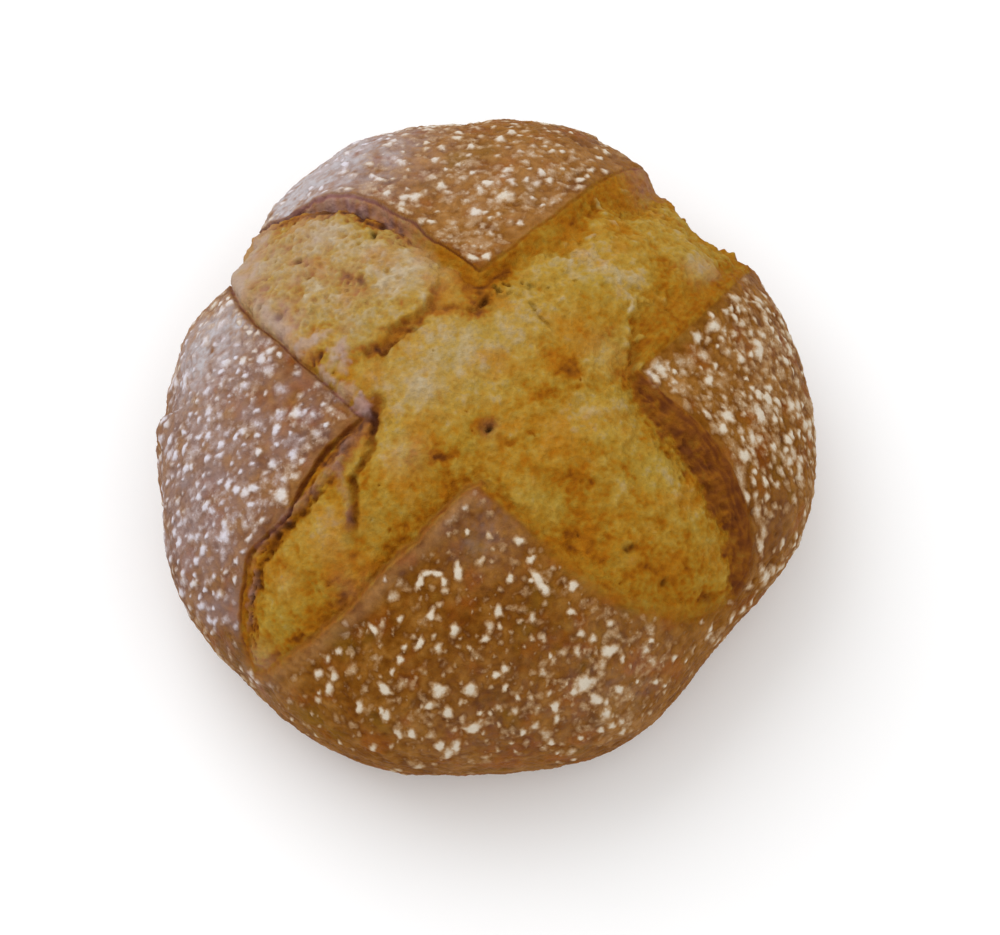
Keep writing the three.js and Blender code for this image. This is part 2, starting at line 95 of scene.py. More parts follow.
# One row for each edge of a petal, from its tip to the end of an arm. In brackets stand values at the
# tip, midway and at the end, and in a list of pairs each value stands beside its distance from the tip.
# lip, foot: heights of the curled crust and of the crumb at its foot. wall: width of the torn side.
# curl: how far back the lip reaches. rise: how far in the crumb rises. shreds: roughness of the crumb
# at the wall's foot. blend: half width over which crust turns into crumb. slit: a narrow groove below
# the lip (place, half width, depth). soft: rounding of the lip. bare: width of the strip of crust
# beside the edge with little flour. melt: how gently the torn side's tones turn into the crumb's, as
# a share of its width. bake, wine, lilac: the torn side's tones.
EDGES = {
    "north_right": dict(
        tip="north", end="ne",
        through=[(9.4, 38.3), (22.4, 51.9), (39, 73), (52, 88), (66, 100), (80, 105)], lip=(2, 1.6, 1),
        foot=(-0.1, -0.5, 0), curl=5, rise=9,
        wall=[(0, 3), (16, 6.5), (23, 11.5), (30, 11), (38, 4.5), (47, 7), (56, 14), (80, 12), (130, 5)],
        shreds=[(0, 0), (20, 0.15)], blend=[(0, 0.3)], slit=(0.5, 0.9, 0.3), soft=0.2, bare=(2.5, 4.5, 5),
        melt=0.45, bake=(0.7, 0.68, 0.72), wine=(0.1, 0.12, 0.4), lilac=[(60, 0), (78, 0.4), (130, 0.45)],
    ),
    "east_top": dict(
        tip="east", end="ne",
        through=[(56.6, 14.2), (68.4, 26.9), (80, 40), (91.7, 52.9), (103, 72), (105, 88)],
        lip=(2.4, 1.4, 0.8), foot=(-0.8, -0.3, 0), curl=5, rise=9,
        wall=[(0, 1.5), (8, 9), (14, 14), (18, 15), (24, 10), (32, 7.4), (38, 6.6), (46, 4.5), (75, 6),
              (130, 4)],
        shreds=0.1, blend=[(0, 0.6)], slit=(0.5, 0.9, 0), soft=0.5, bare=(7, 7.5, 10), melt=0.5,
        bake=(0.68, 0.68, 0.78), wine=(0.12, 0.12, 0.45), lilac=0,
    ),
    "east_low": dict(
        tip="east", end="se",
        through=[(47.4, -5.4), (53.4, -9.9), (59.5, -15.1), (65.5, -21.7), (71.3, -30.1), (77, -38.8),
                 (80.8, -47.5), (83.2, -56.3)],
        lip=(3, 4, 1.2), foot=(-2.2, -2.2, -0.6), curl=7, rise=12,
        wall=[(0, 4.5), (10, 8), (25, 9.2), (45, 9), (60, 7.6), (80, 4)], shreds=(0.5, 0.4, 0),
        blend=[(0, 0.3), (55, 0.3), (75, 3)], slit=(1.7, 1.6, 0.16), soft=0.25, bare=(6.5, 5, 4), melt=0.12,
        bake=(0.84, 0.89, 0.86), wine=(0.55, 0.56, 0.58), lilac=0.03,
    ),
    "south_right": dict(
        tip="south", end="se",
        through=[(5.2, -39.5), (11.7, -44.6), (21.7, -54.2), (30.8, -60.2), (43.1, -66.6), (62.8, -71.3),
                 (72.9, -68.9)],
        lip=(2.2, 0.5, 0.4), foot=(-1, 0, 0.2), curl=4, rise=14, wall=[(0, 3), (30, 4), (60, 5), (100, 4)],
        shreds=0, blend=[(0, 0.3), (14, 0.8), (35, 3), (60, 5), (100, 6)], slit=(0.5, 0.9, 0),
        soft=(0.4, 0, 0), bare=3, melt=0.5, bake=(0.7, 0.64, 0.66), wine=(0.15, 0.08, 0.1), lilac=0,
    ),
    "south_left": dict(
        tip="south", end="sw",
        through=[(-6.6, -36.8), (-18, -47.9), (-26.2, -54.6), (-35, -63.4), (-45, -70.7), (-56.1, -77.7),
                 (-64, -82.3)],
        lip=(2.6, 2.4, 0.4), foot=(-1.4, -1.4, -0.2), curl=3, rise=9, wall=[(0, 2.2), (90, 2.2)],
        shreds=0.2, blend=[(0, 0.3), (50, 0.4), (66, 1.8), (85, 4)], slit=(1.4, 1, 0.2), soft=0.4, bare=5,
        melt=0.3, bake=0.7, wine=(0.24, 0.2, 0), lilac=0.05,
    ),
    "west_low": dict(
        tip="west", end="sw",
        through=[(-43, -21.8), (-47.4, -29), (-52.3, -37.8), (-59.4, -43.6), (-64.6, -48.3), (-67.4, -55.6),
                 (-70.3, -65), (-71.3, -72.5)],
        lip=(1.7, 1.7, 0.2), foot=(-0.7, -0.5, 0), curl=5, rise=8,
        wall=[(0, 1.1), (40, 1.1), (50, 2.6), (62, 4.5), (72, 4), (82, 1.5), (90, 1)],
        shreds=[(0, 0.4), (40, 0.8), (68, 1.2), (80, 0.4)],
        blend=[(0, 0.3), (60, 0.3), (74, 1.8), (90, 3.5)], slit=(0.8, 1, 0.5), soft=0.3, bare=3.8, melt=0.3,
        bake=(0.76, 0.76, 0.74), wine=(0.45, 0.4, 0.05), lilac=0,
    ),
    "west_top": dict(
        tip="west", end="nw",
        through=[(-42.7, -5.7), (-49.7, 0.8), (-55.1, 6), (-60.4, 11.5), (-71.1, 21.6), (-85.9, 41),
                 (-94, 56), (-98, 70)],
        lip=(1.6, 1.2, 1), foot=(-1, -0.8, -0.6), curl=3, rise=2, wall=[(0, 1.3), (20, 1), (120, 0.9)],
        shreds=0, blend=[(0, 0.3)], slit=(0.4, 0.45, 0.45), soft=0.2, bare=2, melt=0.3, bake=0.68, wine=0.5,
        lilac=(0.1, 0.2, 0.3),
    ),
    "north_left": dict(
        tip="north", end="nw",
        through=[(-4.3, 31.6), (-9.4, 35.3), (-15, 39.2), (-20, 44.2), (-27.8, 50.1), (-36.7, 56),
                 (-45.9, 60.3), (-57.2, 63.4), (-65, 64.2), (-73.4, 67.4), (-80, 71), (-88, 76)],
        lip=(2.4, 3, 0.5), foot=(-0.2, -1.6, -0.2), curl=5, rise=3.5,
        wall=[(0, 4.5), (15, 4.2), (45, 3.4), (62, 2.8), (69, 0.9), (80, 0.6), (130, 0.6)],
        shreds=[(0, 0), (14, 0.4), (24, 1)], blend=[(0, 0.3)], slit=(0.4, 0.7, 0.7), soft=0.2, bare=1.2,
        melt=0.15, bake=0.66, wine=(0.1, 0.32, 0.3), lilac=(-0.3, 0.9, 0.7),
    ),
}
EDGE_VALUES = (
    "lip", "foot", "wall", "melt", "blend", "curl", "rise", "soft", "bare", "shreds", "bake", "wine", "lilac",
)
# Round the opening counterclockwise each petal's second edge is met before its first.
OUTLINE_ORDER = [
    ("north_right", 1), ("east_top", -1), ("east_low", 1), ("south_right", -1),
    ("south_left", 1), ("west_low", -1), ("west_top", 1), ("north_left", -1),
]
CRUST_SINK, BULGE = 0.5, 3.2  # how far the crust lies below the plain dome and the crumb above it
SLIT_END = (0.7, 0.95)  # a slit fades out between these shares of its edge

# Steps in the skin: the skin left of a line stands above by (height, reach), the skin right of it
# lies below by the same. fade: the shares of the line over which the step grows at its two ends.
# face: width of the torn face between them.
STEPS = [
    dict(at=[(-33, 4.5), (-31, 5.4), (-28.2, 6.5), (-24.9, 10.9), (-18.5, 13.6), (-15.3, 19.1),
             (-13.9, 22.9), (-11, 26.9)],
         above=(1.5, 9), below=(-0.8, 3), fade=(0.15, 0.15), bake=0.32, wine=0.05, face=2.8),
    dict(at=[(-128, -6), (-118, -7), (-109.6, -3.1), (-105.8, -0.6), (-100.9, 0), (-90, -2.3),
             (-82.1, -5.2)],
         above=(-3.4, 16), below=(0.6, 4), fade=(0.2, 0.75), wine=0.35, face=1.2),
]

# Broad swellings (+) and hollows (-) of the dome: place, radius, height.
SWELLS = [
    (81, 72, 8, -3.6), (74, 81, 6, -1.6), (90, 54, 7, 1.7), (51, 89, 8, 2.2), (19, 103, 14, -1.4),
    (-8, 103, 10, -1.2), (-37, 98, 12, -1.4), (-53, 92, 8, -1.7), (-74, 78, 9, 2.2), (-88, 52, 8, -1.5),
    (-109, 22, 8, -1.5), (-114, -30, 9, -1.9), (-106, 9, 8, -1.4), (-106, -4, 5, 1.7), (-108, -13, 8, -1),
    (-85, 61, 6, -4.6), (-94, 60, 9, -2.6), (108, 30, 14, -1.1), (80, 68, 6, -2.2), (66, 82, 5, 1.6),
    (-27, 98, 8, -1.1), (-80, -90, 8, -1), (80, -90, 9, -0.9),
]

# Lines on the skin: points, half width, height (or depth, below zero) and what they tint. rough: how
# far fine noise and the streaks along the edges break a line up.
# Their dark pit tint in cracks, crevices and gaps is painted shade.
LINES = {
    "crack along the plateau's foot": dict(
        at=[(-30, 3.2), (-27, 3.8), (-23.4, 8.2), (-17.2, 10.9)], half=0.8, height=-1, wine=0.3, pit=0.12),
    "brown foot of the tear": dict(
        at=[(-16, 15), (-11.6, 15.6), (-7.9, 15.4), (-5.1, 14.6), (-2.2, 14.8), (0.5, 18)], half=2.8,
        height=-0.4, bake=0.34),
    "tear below the north tip": dict(
        at=[(-15.3, 16.2), (-11.6, 16.6), (-7.9, 16.5), (-5.1, 15.5), (-2.2, 15.4), (0, 18.6), (2.4, 22.6)],
        half=0.9, height=-0.9, wine=0.35, pit=0.12),
    "crevice below the west tip": dict(
        at=[(-28, -10.5), (-28.9, -13.1), (-29.8, -16.1), (-30.4, -20.5), (-31.1, -24.7), (-33.2, -28.2),
            (-34.1, -32.6), (-33.5, -37.6), (-33.7, -41.9), (-34, -46)],
        half=1.7, height=-2.1, bake=0.25, wine=0.3, pit=0.32),
    "strand beside the crevice": dict(
        at=[(-38.6, -27), (-37.6, -30.9), (-36.2, -35.2), (-35.2, -39.9), (-35.2, -43)], half=1.4,
        height=0.9, bake=0.1, wine=0.22, lilac=0.28, rough=1),
    "gap in front of the west flap": dict(
        at=[(-38.9, -29.5), (-41.5, -32), (-44.6, -35), (-49, -39.4), (-53.5, -43.8), (-58.5, -49),
            (-61.4, -54.1), (-62, -60)],
        half=1.9, height=-1.3, bake=0.18, wine=0.1, pit=0.3, rough=0.9),
    "flap along the west petal": dict(
        at=[(-32.3, -16.3), (-36.4, -21.1), (-39.2, -26.2), (-42.7, -30.2), (-46.2, -34.2), (-51, -37.5),
            (-54.5, -40.8), (-57.5, -43.6), (-60.9, -46.9), (-64.2, -50.9)],
        half=1.7, height=1.1, wine=0.14, lilac=0.3, rough=1),
    "shreds below the north petal's left edge": dict(
        at=[(-20, 38), (-26, 44), (-34, 50), (-43, 54.4), (-53, 57.4), (-62, 58.4)], half=3.4, height=-0.5,
        bake=0.34, wine=0.06, rough=1),
    "strands at the end of the west flap": dict(
        at=[(-61.5, -50), (-63.5, -56), (-65.4, -62), (-66.6, -68)], half=1.2, height=0.8, wine=0.12,
        lilac=0.28, rough=1.4),
    "pale rim along the west petal": dict(
        at=[(-51, 6.8), (-58, 14), (-68.5, 24.2), (-77, 33.6), (-83.5, 43), (-89, 54)], half=3.6,
        height=0.2, bake=-0.16, lilac=0.36),
    "fissure right of the middle": dict(
        at=[(12, 19), (15.7, 12.5), (17.4, 9.4), (19.1, 6.9)], half=0.7, height=-0.7, pit=0.25),
    "groove behind the south left lip": dict(
        at=[(-4, -43), (-18, -54), (-30, -66), (-44, -77)], half=2.2, height=-0.5, skin=-0.05),
    "streak east": dict(
        at=[(9.7, -12), (14, -9.4), (24, -7), (34.2, -4.5)], half=1.6, height=-0.4, bake=0.22),
    "streak by the hole": dict(
        at=[(4.2, -22.6), (9, -21), (14, -19)], half=1.5, height=-0.3, bake=0.25, wine=0.1),
    "streak left": dict(
        at=[(-14, -28), (-11.8, -26.5), (-6.2, -24.4)], half=1.6, height=-0.5, bake=0.25, wine=0.1),
    "streak lower right": dict(
        at=[(20, -31), (24.6, -32), (31.3, -33.7)], half=1.6, height=-0.3, bake=0.15),
}


def spot(u, v, radius, height, **more):
    return dict(at=(u, v), radius=radius, height=height, **more)


# Spots on the skin: place, radius, height, and what they tint. One with long and turn is a ragged blob,
# that much longer than wide and turned by so many degrees. A porous one is broken up by fine noise.
# Their dark pit tint in holes, hollows and pores is painted shade.
SPOTS = [
    # the hole in the middle, and hollows about it
    spot(1.3, -18.2, 1, -2.2, pit=0.55), spot(1.3, -18.2, 2.6, -1.7, pit=0.18, lilac=0.15),
    spot(0.6, -17.2, 4, 0.4, bake=0.3), spot(23.9, -1.8, 2.6, -0.5, bake=0.3, wine=0.1),
    spot(20.1, 0.8, 4.2, -0.3, bake=0.26), spot(-31.2, 3.4, 1.3, -1.1, pit=0.2, bake=0.2),
    spot(-27.4, 3.9, 1.1, -0.8, pit=0.1, bake=0.2), spot(0.3, 18.2, 1.9, -2, pit=0.45, bake=0.2),
    # a coarse, olive patch of crumb, its pores darkened with painted shade
    spot(3, 22.6, 3, -1, pit=0.5, porous=1), spot(7, 23.6, 3.6, -0.9, pit=0.42, porous=1),
    spot(12.4, 24, 2.6, -0.9, pit=0.48, porous=1),
    # holes and hollows in the north-west arm
    spot(-31.6, 42.1, 1, -2.2, pit=0.95), spot(-35.1, 26.4, 1.2, -1, pit=0.4, bake=0.2),
    spot(-40.1, 28.5, 3.4, -0.8, bake=0.32, wine=0.05), spot(-57.8, 39.1, 1.3, -1, pit=0.35, bake=0.2),
    spot(-66.1, 23.2, 1.3, -1, pit=0.35, bake=0.2), spot(-70.9, 31.4, 1.3, -0.8, pit=0.3, bake=0.2),
    spot(-59.2, 17.9, 1.3, -0.9, pit=0.4, wine=0.4),
    # small pale scraps of crumb
    spot(40.7, 18.4, 0.8, 0.6, long=2.6, turn=70, bake=-0.35),
    spot(43, 10.4, 0.8, 0.6, long=2.4, turn=20, bake=-0.35),
    spot(42.3, 0.8, 1, 0.5, long=2, turn=60, bake=-0.3),
    spot(45, -2.9, 1, 0.6, long=2.2, turn=100, bake=-0.35, lilac=0.2),
    spot(47.2, -4.6, 0.9, 0.5, long=1.6, turn=40, bake=-0.3, lilac=0.2),
    spot(34.5, 58.3, 0.9, 0.7, long=2.6, turn=-50, bake=-0.35, lilac=0.15),
    spot(36.9, 56, 0.8, 0.6, long=2.2, turn=30, bake=-0.3),
    spot(44, 69.1, 0.9, 0.6, long=2, turn=10, bake=-0.3),
    spot(39.9, 53, 0.9, 0.6, long=1.8, turn=-30, bake=-0.3, lilac=0.15),
    spot(31.2, 44.4, 0.8, 0.5, long=2.4, turn=20, bake=-0.3),
    spot(22.9, 39.7, 0.8, 0.5, long=2, turn=60, bake=-0.3),
    # torn skin in front of the west petal's tip
    spot(-46, 3.4, 1.6, -1.2, long=1.5, turn=60, pit=0.1, bake=0.4),
    spot(-48.6, 8, 2.4, 0.4, long=2.3, turn=20, lilac=0.6, bake=-0.1),
    spot(-45.8, 9.2, 2, 0.2, long=1.2, turn=20, lilac=0.4),
    spot(-39.4, 4.5, 3, 0.5, long=1.1, turn=0, lilac=0.8),
    spot(-38.8, 0.4, 1.7, 0.5, long=2.2, turn=85, lilac=0.45),
    spot(-41.6, 1, 1.5, 0.4, long=2, turn=50, lilac=0.4),
    spot(-43.6, -1.6, 2.1, 0.4, long=1.3, turn=-60, lilac=0.7),
    spot(-38, -6.6, 3.2, 0.5, long=1.5, turn=-45, lilac=0.55),
    spot(-32.9, -11, 2.8, 0.9, long=1.2, turn=80, lilac=0.9, wine=0.2),
    spot(-29.4, -9.8, 2.2, -1, bake=0.3, wine=0.35),
    spot(-29.3, -14.5, 2.2, -0.9, bake=0.3, wine=0.35, pit=0.12),
    # hollows below the east petal and in the south-east arm
    spot(56, -20.5, 2, -0.3, pit=0.12), spot(58.5, -26, 2.2, -0.3, pit=0.1),
    spot(63, -32, 1.5, -0.4, pit=0.12), spot(39.2, -50.7, 0.9, -1, pit=0.5, wine=0.5),
    spot(40.8, -50, 0.8, -0.9, pit=0.5, wine=0.5), spot(52.4, -60.8, 1.2, -1, pit=0.4, wine=0.5),
    spot(79.4, -59.4, 2.2, -0.4, long=1.5, turn=60, wine=0.5), spot(70, -65.5, 1.8, -0.6, wine=0.6),
    # crumbs along the far rim
    spot(69, 81, 1.6, 0.9), spot(78, 75, 1.6, 1), spot(83.5, 66, 1.8, 1.6), spot(88, 60.5, 1.5, 0.8),
    spot(73.5, 77.5, 1.3, 1.2, bake=0.2), spot(64.5, 85, 1.4, 1.2, bake=0.2),
    spot(85.5, 63, 1.1, 1.2, bake=0.2),
]

# Broad tones of the crumb: place, radius, browner (+) or creamier (-), and a grey-lilac cast if any.
CRUMB_TONES = [
    (-22, 30, 9, -0.32, 0.36), (-20, 34, 12, -0.11, 0.16), (-50, 45, 11, -0.28, 0.45),
    (-36, 14, 8, -0.18, 0.28), (-41, 31, 7, 0.12, 0.1), (-59, 27, 9, -0.08, 0.45),
    (-70, 42, 10, -0.16, 0.5), (-82, 62, 11, -0.2, 0.9), (-92, 46, 9, -0.2, 0.9), (-55, 12, 9, -0.1, 0.45),
    (-62, 20, 6, -0.06, 0.5), (-70, 28, 6, -0.08, 0.6), (-79, 38, 7, -0.08, 0.7), (-86, 48, 7, -0.05, 0.7),
    (-46, 24, 9, -0.08, 0.1), (-10, 8, 11, -0.22, 0.08), (6, 9, 9, -0.18, 0.06), (-18, -5, 8, -0.22, 0.15),
    (-17, -8, 4, -0.14, 0.18), (-4, -3, 8, -0.12, 0.05), (-29, -3, 6, -0.12, 0.05), (9, -10, 9, 0.02),
    (22, 33, 8, -0.24), (34, 33, 7, -0.24), (42, 26, 8, -0.16), (34, 5, 6, -0.14, 0.1), (29, 52, 6, 0.02),
    (21, 20, 8, 0.04), (37, 18, 8, -0.02), (31, 12, 6, 0.05), (54, 36, 6, 0.12), (65, 37, 5, -0.26, 0.3),
    (70, 55, 10, -0.04), (69, 40, 4, -0.06, 0.35), (31, -12, 9, -0.06), (42, -16, 10, -0.08),
    (48, -8, 7, -0.06), (52, -26, 7, -0.08), (56, -34, 5, -0.02), (70, -40, 7, -0.04), (24, -21, 8, -0.05),
    (24, -34, 6, 0.14), (31, -47, 9, 0.15), (16, -29, 6, 0.08), (28, -38, 7, 0.06), (37, -57, 8, 0.1),
    (50, -53, 9, 0.13), (63, -59, 8, 0.08), (47, -70, 7, 0.1), (62, -72, 8, 0.1), (75, -66, 7, 0.18),
    (68, -69, 6, 0.14), (54, -70, 6, 0.08), (-14, -28, 5, 0.12), (-25, -33, 6, 0.08), (-40, -52, 6, 0.08),
    (-49, -62, 7, 0.1), (-58, -69, 7, 0.06), (-66, -79, 6, -0.1, 0.35), (-21, -43, 6, 0.08),
    (-30, -50, 6, 0.06), (-40, -46, 5, -0.08, 0.06), (-52, -56, 4, -0.1, 0.06), (-21, -25, 5, -0.1, 0.2),
    (-41, -42, 5, -0.16), (-35, -57, 5, -0.04, 0.1), (-27, -19, 5, -0.14), (-3, 23, 5, 0.3),
    (4, 29, 4, 0.3), (-80, 50, 6, 0, 0.6), (-77, 39, 5, 0.04, 0.5), (-70, 30, 5, 0.08, -0.4),
    (-59, 25, 6, 0.04, -0.35), (-57.6, 15.6, 4, 0, 0.5), (-46, 12, 4, 0.08, -0.2), (-58, 54, 5, 0.04, 0.3),
    (-50, 47, 5, -0.04, 0.35), (-23, 33, 5, 0.1, -0.25), (-28, 23, 4, -0.12, 0.1), (-35, 20, 4, 0.12, 0.05),
    (-55, 32, 5, 0.12, 0.15), (-53, 39, 4, 0.12), (-64, 47, 5, 0.13, 0.15), (-74, 58, 5, 0, 0.4),
    (-31, 38, 4, -0.1, 0.1), (-38, 31, 11, -0.1, 0.16), (58, -24, 4, -0.12), (55, -18, 3.5, -0.08),
    (-32, -13, 3, 0.24, 0.12), (-33.6, -18, 3.4, 0.26, 0.14), (-36.4, -22.6, 3.2, 0.22, 0.14),
    (-39.5, -27, 3, 0.16, 0.14),
]

# Browning of the crust: place, radius, darker (+) or lighter (-), and a lilac cast if any, partly the crust's
# own pinkish tone and partly a painted sheen on the sides towards the key light.
CRUST_TONES = [
    (0, -75, 30, 0.06), (62, -80, 14, -0.04), (45, -96, 16, -0.1), (-30, -85, 18, 0.06),
    (-70, -30, 22, -0.04, 0.1), (10, 60, 30, -0.2, 0.1), (-50, 80, 26, -0.12, 0.6), (50, 78, 14, -0.1),
    (86, 50, 9, -0.02, 0.15), (85, -45, 14, 0.05), (-95, 5, 34, -0.08, 0.55), (-85, -40, 26, 0.06, 0.55),
    (-55, -10, 18, 0.06, 0.35), (-78, -62, 12, -0.08, 0.4), (-70, -88, 10, -0.06, 0.25),
]

# ---- the flour
FLOUR_SEED, PORE_SEED = 11, 12
# For each petal its middle, the direction (degrees), stretch and size of its specks, how many there
# are to the square centimetre of the coarse and the fine ones, and the share of fine dust.
PETALS = {
    "north": dict(middle=(0, 80), along=10, stretch=1.25, size=1.12, coarse=14, fine=7, dust=0.6),
    "east": dict(middle=(95, -5), along=112, stretch=1.3, size=1.22, coarse=27, fine=10, dust=0.62),
    "south": dict(middle=(0, -90), along=70, stretch=1.15, size=1, coarse=3.2, fine=11, dust=0.26),
    "west": dict(middle=(-85, -20), along=38, stretch=1.2, size=1.1, coarse=36, fine=13, dust=0.8),
}
# The two kinds of speck: how far apart they keep, usual radius, and strength from faintest to fullest.
SPECKS = [("coarse", 2.45, 1.42, 0.40, 1.10), ("fine", 1.3, 0.95, 0.15, 0.60)]
# Places with more (+) or fewer (-) specks, as a share: place, radius, change; then haze there, if any, a
# flour haze with a painted sheen.
FLOUR_TONES = [
    (-47, 80, 22, 0.3, 0.88), (-64, 72, 12, -0.5, 0.88), (-88, 16, 16, -0.5, 0.85), (-72, 24, 8, -0.3, 0.5),
    (25, 75, 14, -0.2), (0, 60, 14, 0.1), (40, -88, 22, 1.3, 0.06), (0, -105, 24, 0.7, 0.04),
    (92, -40, 14, 0, 0.04), (40, 88, 14, 0, 0.05), (-35, -92, 18, 0.4), (80, -68, 12, -0.8),
    (86, -52, 10, -0.8), (90, -36, 12, -0.6), (86, 48, 8, -0.9), (62, -76, 9, -0.7), (42, 80, 10, -0.8),
    (53, 86, 9, -0.8), (80, 40, 7, -0.6), (82, 8, 18, 0.35), (44, -98, 16, 0.8), (-80, -70, 11, -0.8),
    (30, 86, 13, -0.3), (-60, -12, 12, -0.2), (-52, -4, 8, -0.75), (62, 2, 8, -0.1),
    (0, -45, 10, -0.6, 0.1), (90, 15, 18, 0.2, 0.04), (-95, -30, 20, 0.1, 0.1),
]
# The largest clumps on the south petal: place, radius, length, direction in degrees, strength.
CLUMPS = [
    (-2.6, -35.6, 0.9, 1.3, -50, 0.36), (-0.3, -38, 1, 1.3, -50, 0.36), (1.8, -40.8, 1, 1.3, -50, 0.36),
    (-8.6, -42, 1.4, 1.8, 40, 0.36), (4.7, -49.1, 1.3, 1.3, 20, 0.36), (8, -53, 1.4, 1.2, -40, 0.36),
    (-16.7, -56.3, 1.2, 1.7, 70, 1), (-14.9, -54.6, 1, 1.6, 30, 1), (-12.2, -55, 1, 1.6, -25, 1),
    (-10.6, -56.9, 1, 1.3, -60, 1), (-6.9, -55.2, 1.3, 2.2, 85, 1), (14.2, -57, 1.6, 1.7, -60, 1),
    (15.7, -59.6, 1.3, 1.6, -50, 1), (23.6, -58.8, 1.3, 1.4, 30, 1), (-13.9, -64.5, 1.4, 1.2, 80, 1),
    (3.9, -65.5, 1.5, 1.1, 90, 1), (23.2, -65.1, 1.1, 1.2, 10, 1), (-28.8, -67.7, 1, 1.8, -50, 1),
    (-16.8, -72, 1.1, 1.7, 65, 1), (0, -72.7, 1.1, 1.3, 10, 1), (-22.4, -76, 1.1, 1.4, 40, 1),
    (3, -82.3, 0.9, 1.5, 0, 1), (34.3, -76, 1.9, 1.3, 30, 1), (-26.7, -84.1, 1.3, 1.8, -30, 1),
    (-3.8, -86.4, 1.6, 1.5, 0, 1), (27.9, -84.8, 2, 1.9, 35, 1), (-15.1, -89.7, 1.2, 1.3, 60, 1),
    (-10, -92.9, 1.5, 1.1, 0, 1), (-27.5, -91.8, 1.4, 1.2, 90, 1), (-13.2, -104.2, 1.5, 1.2, 0, 1),
    (-3.2, -98.4, 1.4, 2, 10, 1), (19.9, -92.1, 1.4, 1.2, 0, 1), (32, -90, 1.5, 1.4, 20, 1),
]

# ---- the colours, as they show on screen
CRUST_COLOURS = [  # place on the ramp from pale to dark, red, green, blue
    (0.00, 198, 154, 100), (0.25, 172, 120, 60), (0.45, 152, 100, 38), (0.60, 134, 82, 23),
    (0.75, 116, 66, 14), (0.88, 98, 52, 10), (1.00, 74, 36, 8),
]
CRUMB_COLOURS = [
    (0.00, 204, 184, 144), (0.15, 190, 163, 114), (0.36, 184, 146, 61), (0.56, 172, 122, 34),
    (0.72, 160, 97, 18), (0.86, 126, 70, 18), (1.00, 86, 44, 16),
]
TINTS = {
    "rust": (152, 74, 18), "olive crust": (142, 108, 30), "orange": (182, 114, 26), "olive": (166, 140, 52),
    "cream": (198, 167, 106), "wine": (108, 56, 24), "lilac crumb": (190, 165, 154),
    # the pit tint is painted shade for holes, pores, cracks and slits
    "lilac tear": (176, 132, 132), "lilac crust": (160, 136, 132), "pit": (48, 32, 16),
    # the haze tint is a pale flour haze and a painted sheen
    "haze_and_sheen": (199, 191, 193), "warm veil": (200, 164, 122), "cool veil": (196, 176, 172),
    "warm flour": (230, 217, 196), "cool flour": (230, 224, 232),
}
LIGHT_LEVEL = 1.28  # light on an open horizontal surface
SHEEN_LEVEL = 0.002  # and what its gloss adds
# The tones that the mesh carries, with their values on the underside.
FOOT_TONES = dict(crumb=0, bake=0.6, skin=0.62, wine=0, lilac=0, flour=0, dust=0.1, haze_and_sheen=0.18, pit=0)


# ---- helpers
def smooth(low, high, x):
    t = np.clip((x - low) / (high - low), 0, 1)
    return t * t * (3 - 2 * t)


def bump(x, centre, half):
    return np.clip(1 - ((x - centre) / half) ** 2, 0, 1) ** 2


def scramble(x, y, z, seed):
    bits = (x * 0x8DA6B343 + y * 0xD8163841 + z * 0xCB1AB31F + seed * 0x9E3779B1) & 0xFFFFFFFF
    bits ^= bits >> 15
    bits = (bits * 0x2C1B3C6D) & 0xFFFFFFFF
    bits ^= bits >> 12
    bits = (bits * 0x297A2D39) & 0xFFFFFFFF
    return bits ^ (bits >> 15)


def noise(points, wave, seed):
    """Smooth gradient noise, about -1 to 1."""
    p = points / wave
    cell = np.floor(p).astype(np.int64)
    f = p - cell
    weight = f * f * f * (f * (f * 6 - 15) + 10)
    total = np.zeros(len(p))
    for corner in range(8):
        d = np.array([corner & 1, (corner >> 1) & 1, (corner >> 2) & 1])
        bits = scramble(*(cell + d).T, seed)
        slope, share = 0.0, 1.0
        for axis in range(3):
            slope = slope + (((bits >> (10 * axis)) & 1023) / 511.5 - 1) * (f[:, axis] - d[axis])
            share = share * (weight[:, axis] if d[axis] else 1 - weight[:, axis])
        total += slope * share
    return total * 1.6


def layers(points, *rows):
    """The sum of noises, each given as size, wave and seed."""
    return sum(size * noise(points, wave, seed) for size, wave, seed in rows)


def ridged(points, wave, seed):
    return 1 - 2 * np.abs(noise(points, wave, seed))


def curve_through(points, steps=6):
    p = np.asarray(points, float)
    p = np.vstack([2 * p[0] - p[1], p, 2 * p[-1] - p[-2]])
    t = (np.arange(steps) / steps)[:, None]
    parts = []
    for a, b, c, d in zip(p, p[1:], p[2:], p[3:]):
        bend, twist = 2 * a - 5 * b + 4 * c - d, 3 * b - a - 3 * c + d
        parts.append(0.5 * (2 * b + (c - a) * t + bend * t**2 + twist * t**3))
    return np.vstack([*parts, p[-2]])


def nearest(q, curve):
    """Distance from map points to a curve, the run along it and its share, and the side (+1 left)."""
    lengths = np.hypot(*np.diff(curve, axis=0).T)
    runs = np.concatenate([[0], np.cumsum(lengths)])
    best, run, side = np.full(len(q), np.inf), np.zeros(len(q)), np.ones(len(q))
    for k, length in enumerate(lengths):
        along = (curve[k + 1] - curve[k]) / length
        du, dv = q[:, 0] - curve[k, 0], q[:, 1] - curve[k, 1]
        t = np.clip(du * along[0] + dv * along[1], 0, length)
        ru, rv = du - t * along[0], dv - t * along[1]
        square = ru * ru + rv * rv
        closer = square < best
        best[closer] = square[closer]
        run[closer] = runs[k] + t[closer]
        side[closer] = np.sign(along[0] * dv[closer] - along[1] * du[closer])
    return np.sqrt(best), run, run / runs[-1], side


def inside(q, outline):
    u, v = q.T
    within = np.zeros(len(q), bool)
    for (au, av), (bu, bv) in zip(outline, np.roll(outline, -1, axis=0)):
        if av != bv:
            within ^= ((av > v) != (bv > v)) & (u < au + (bu - au) * (v - av) / (bv - av))
    return within


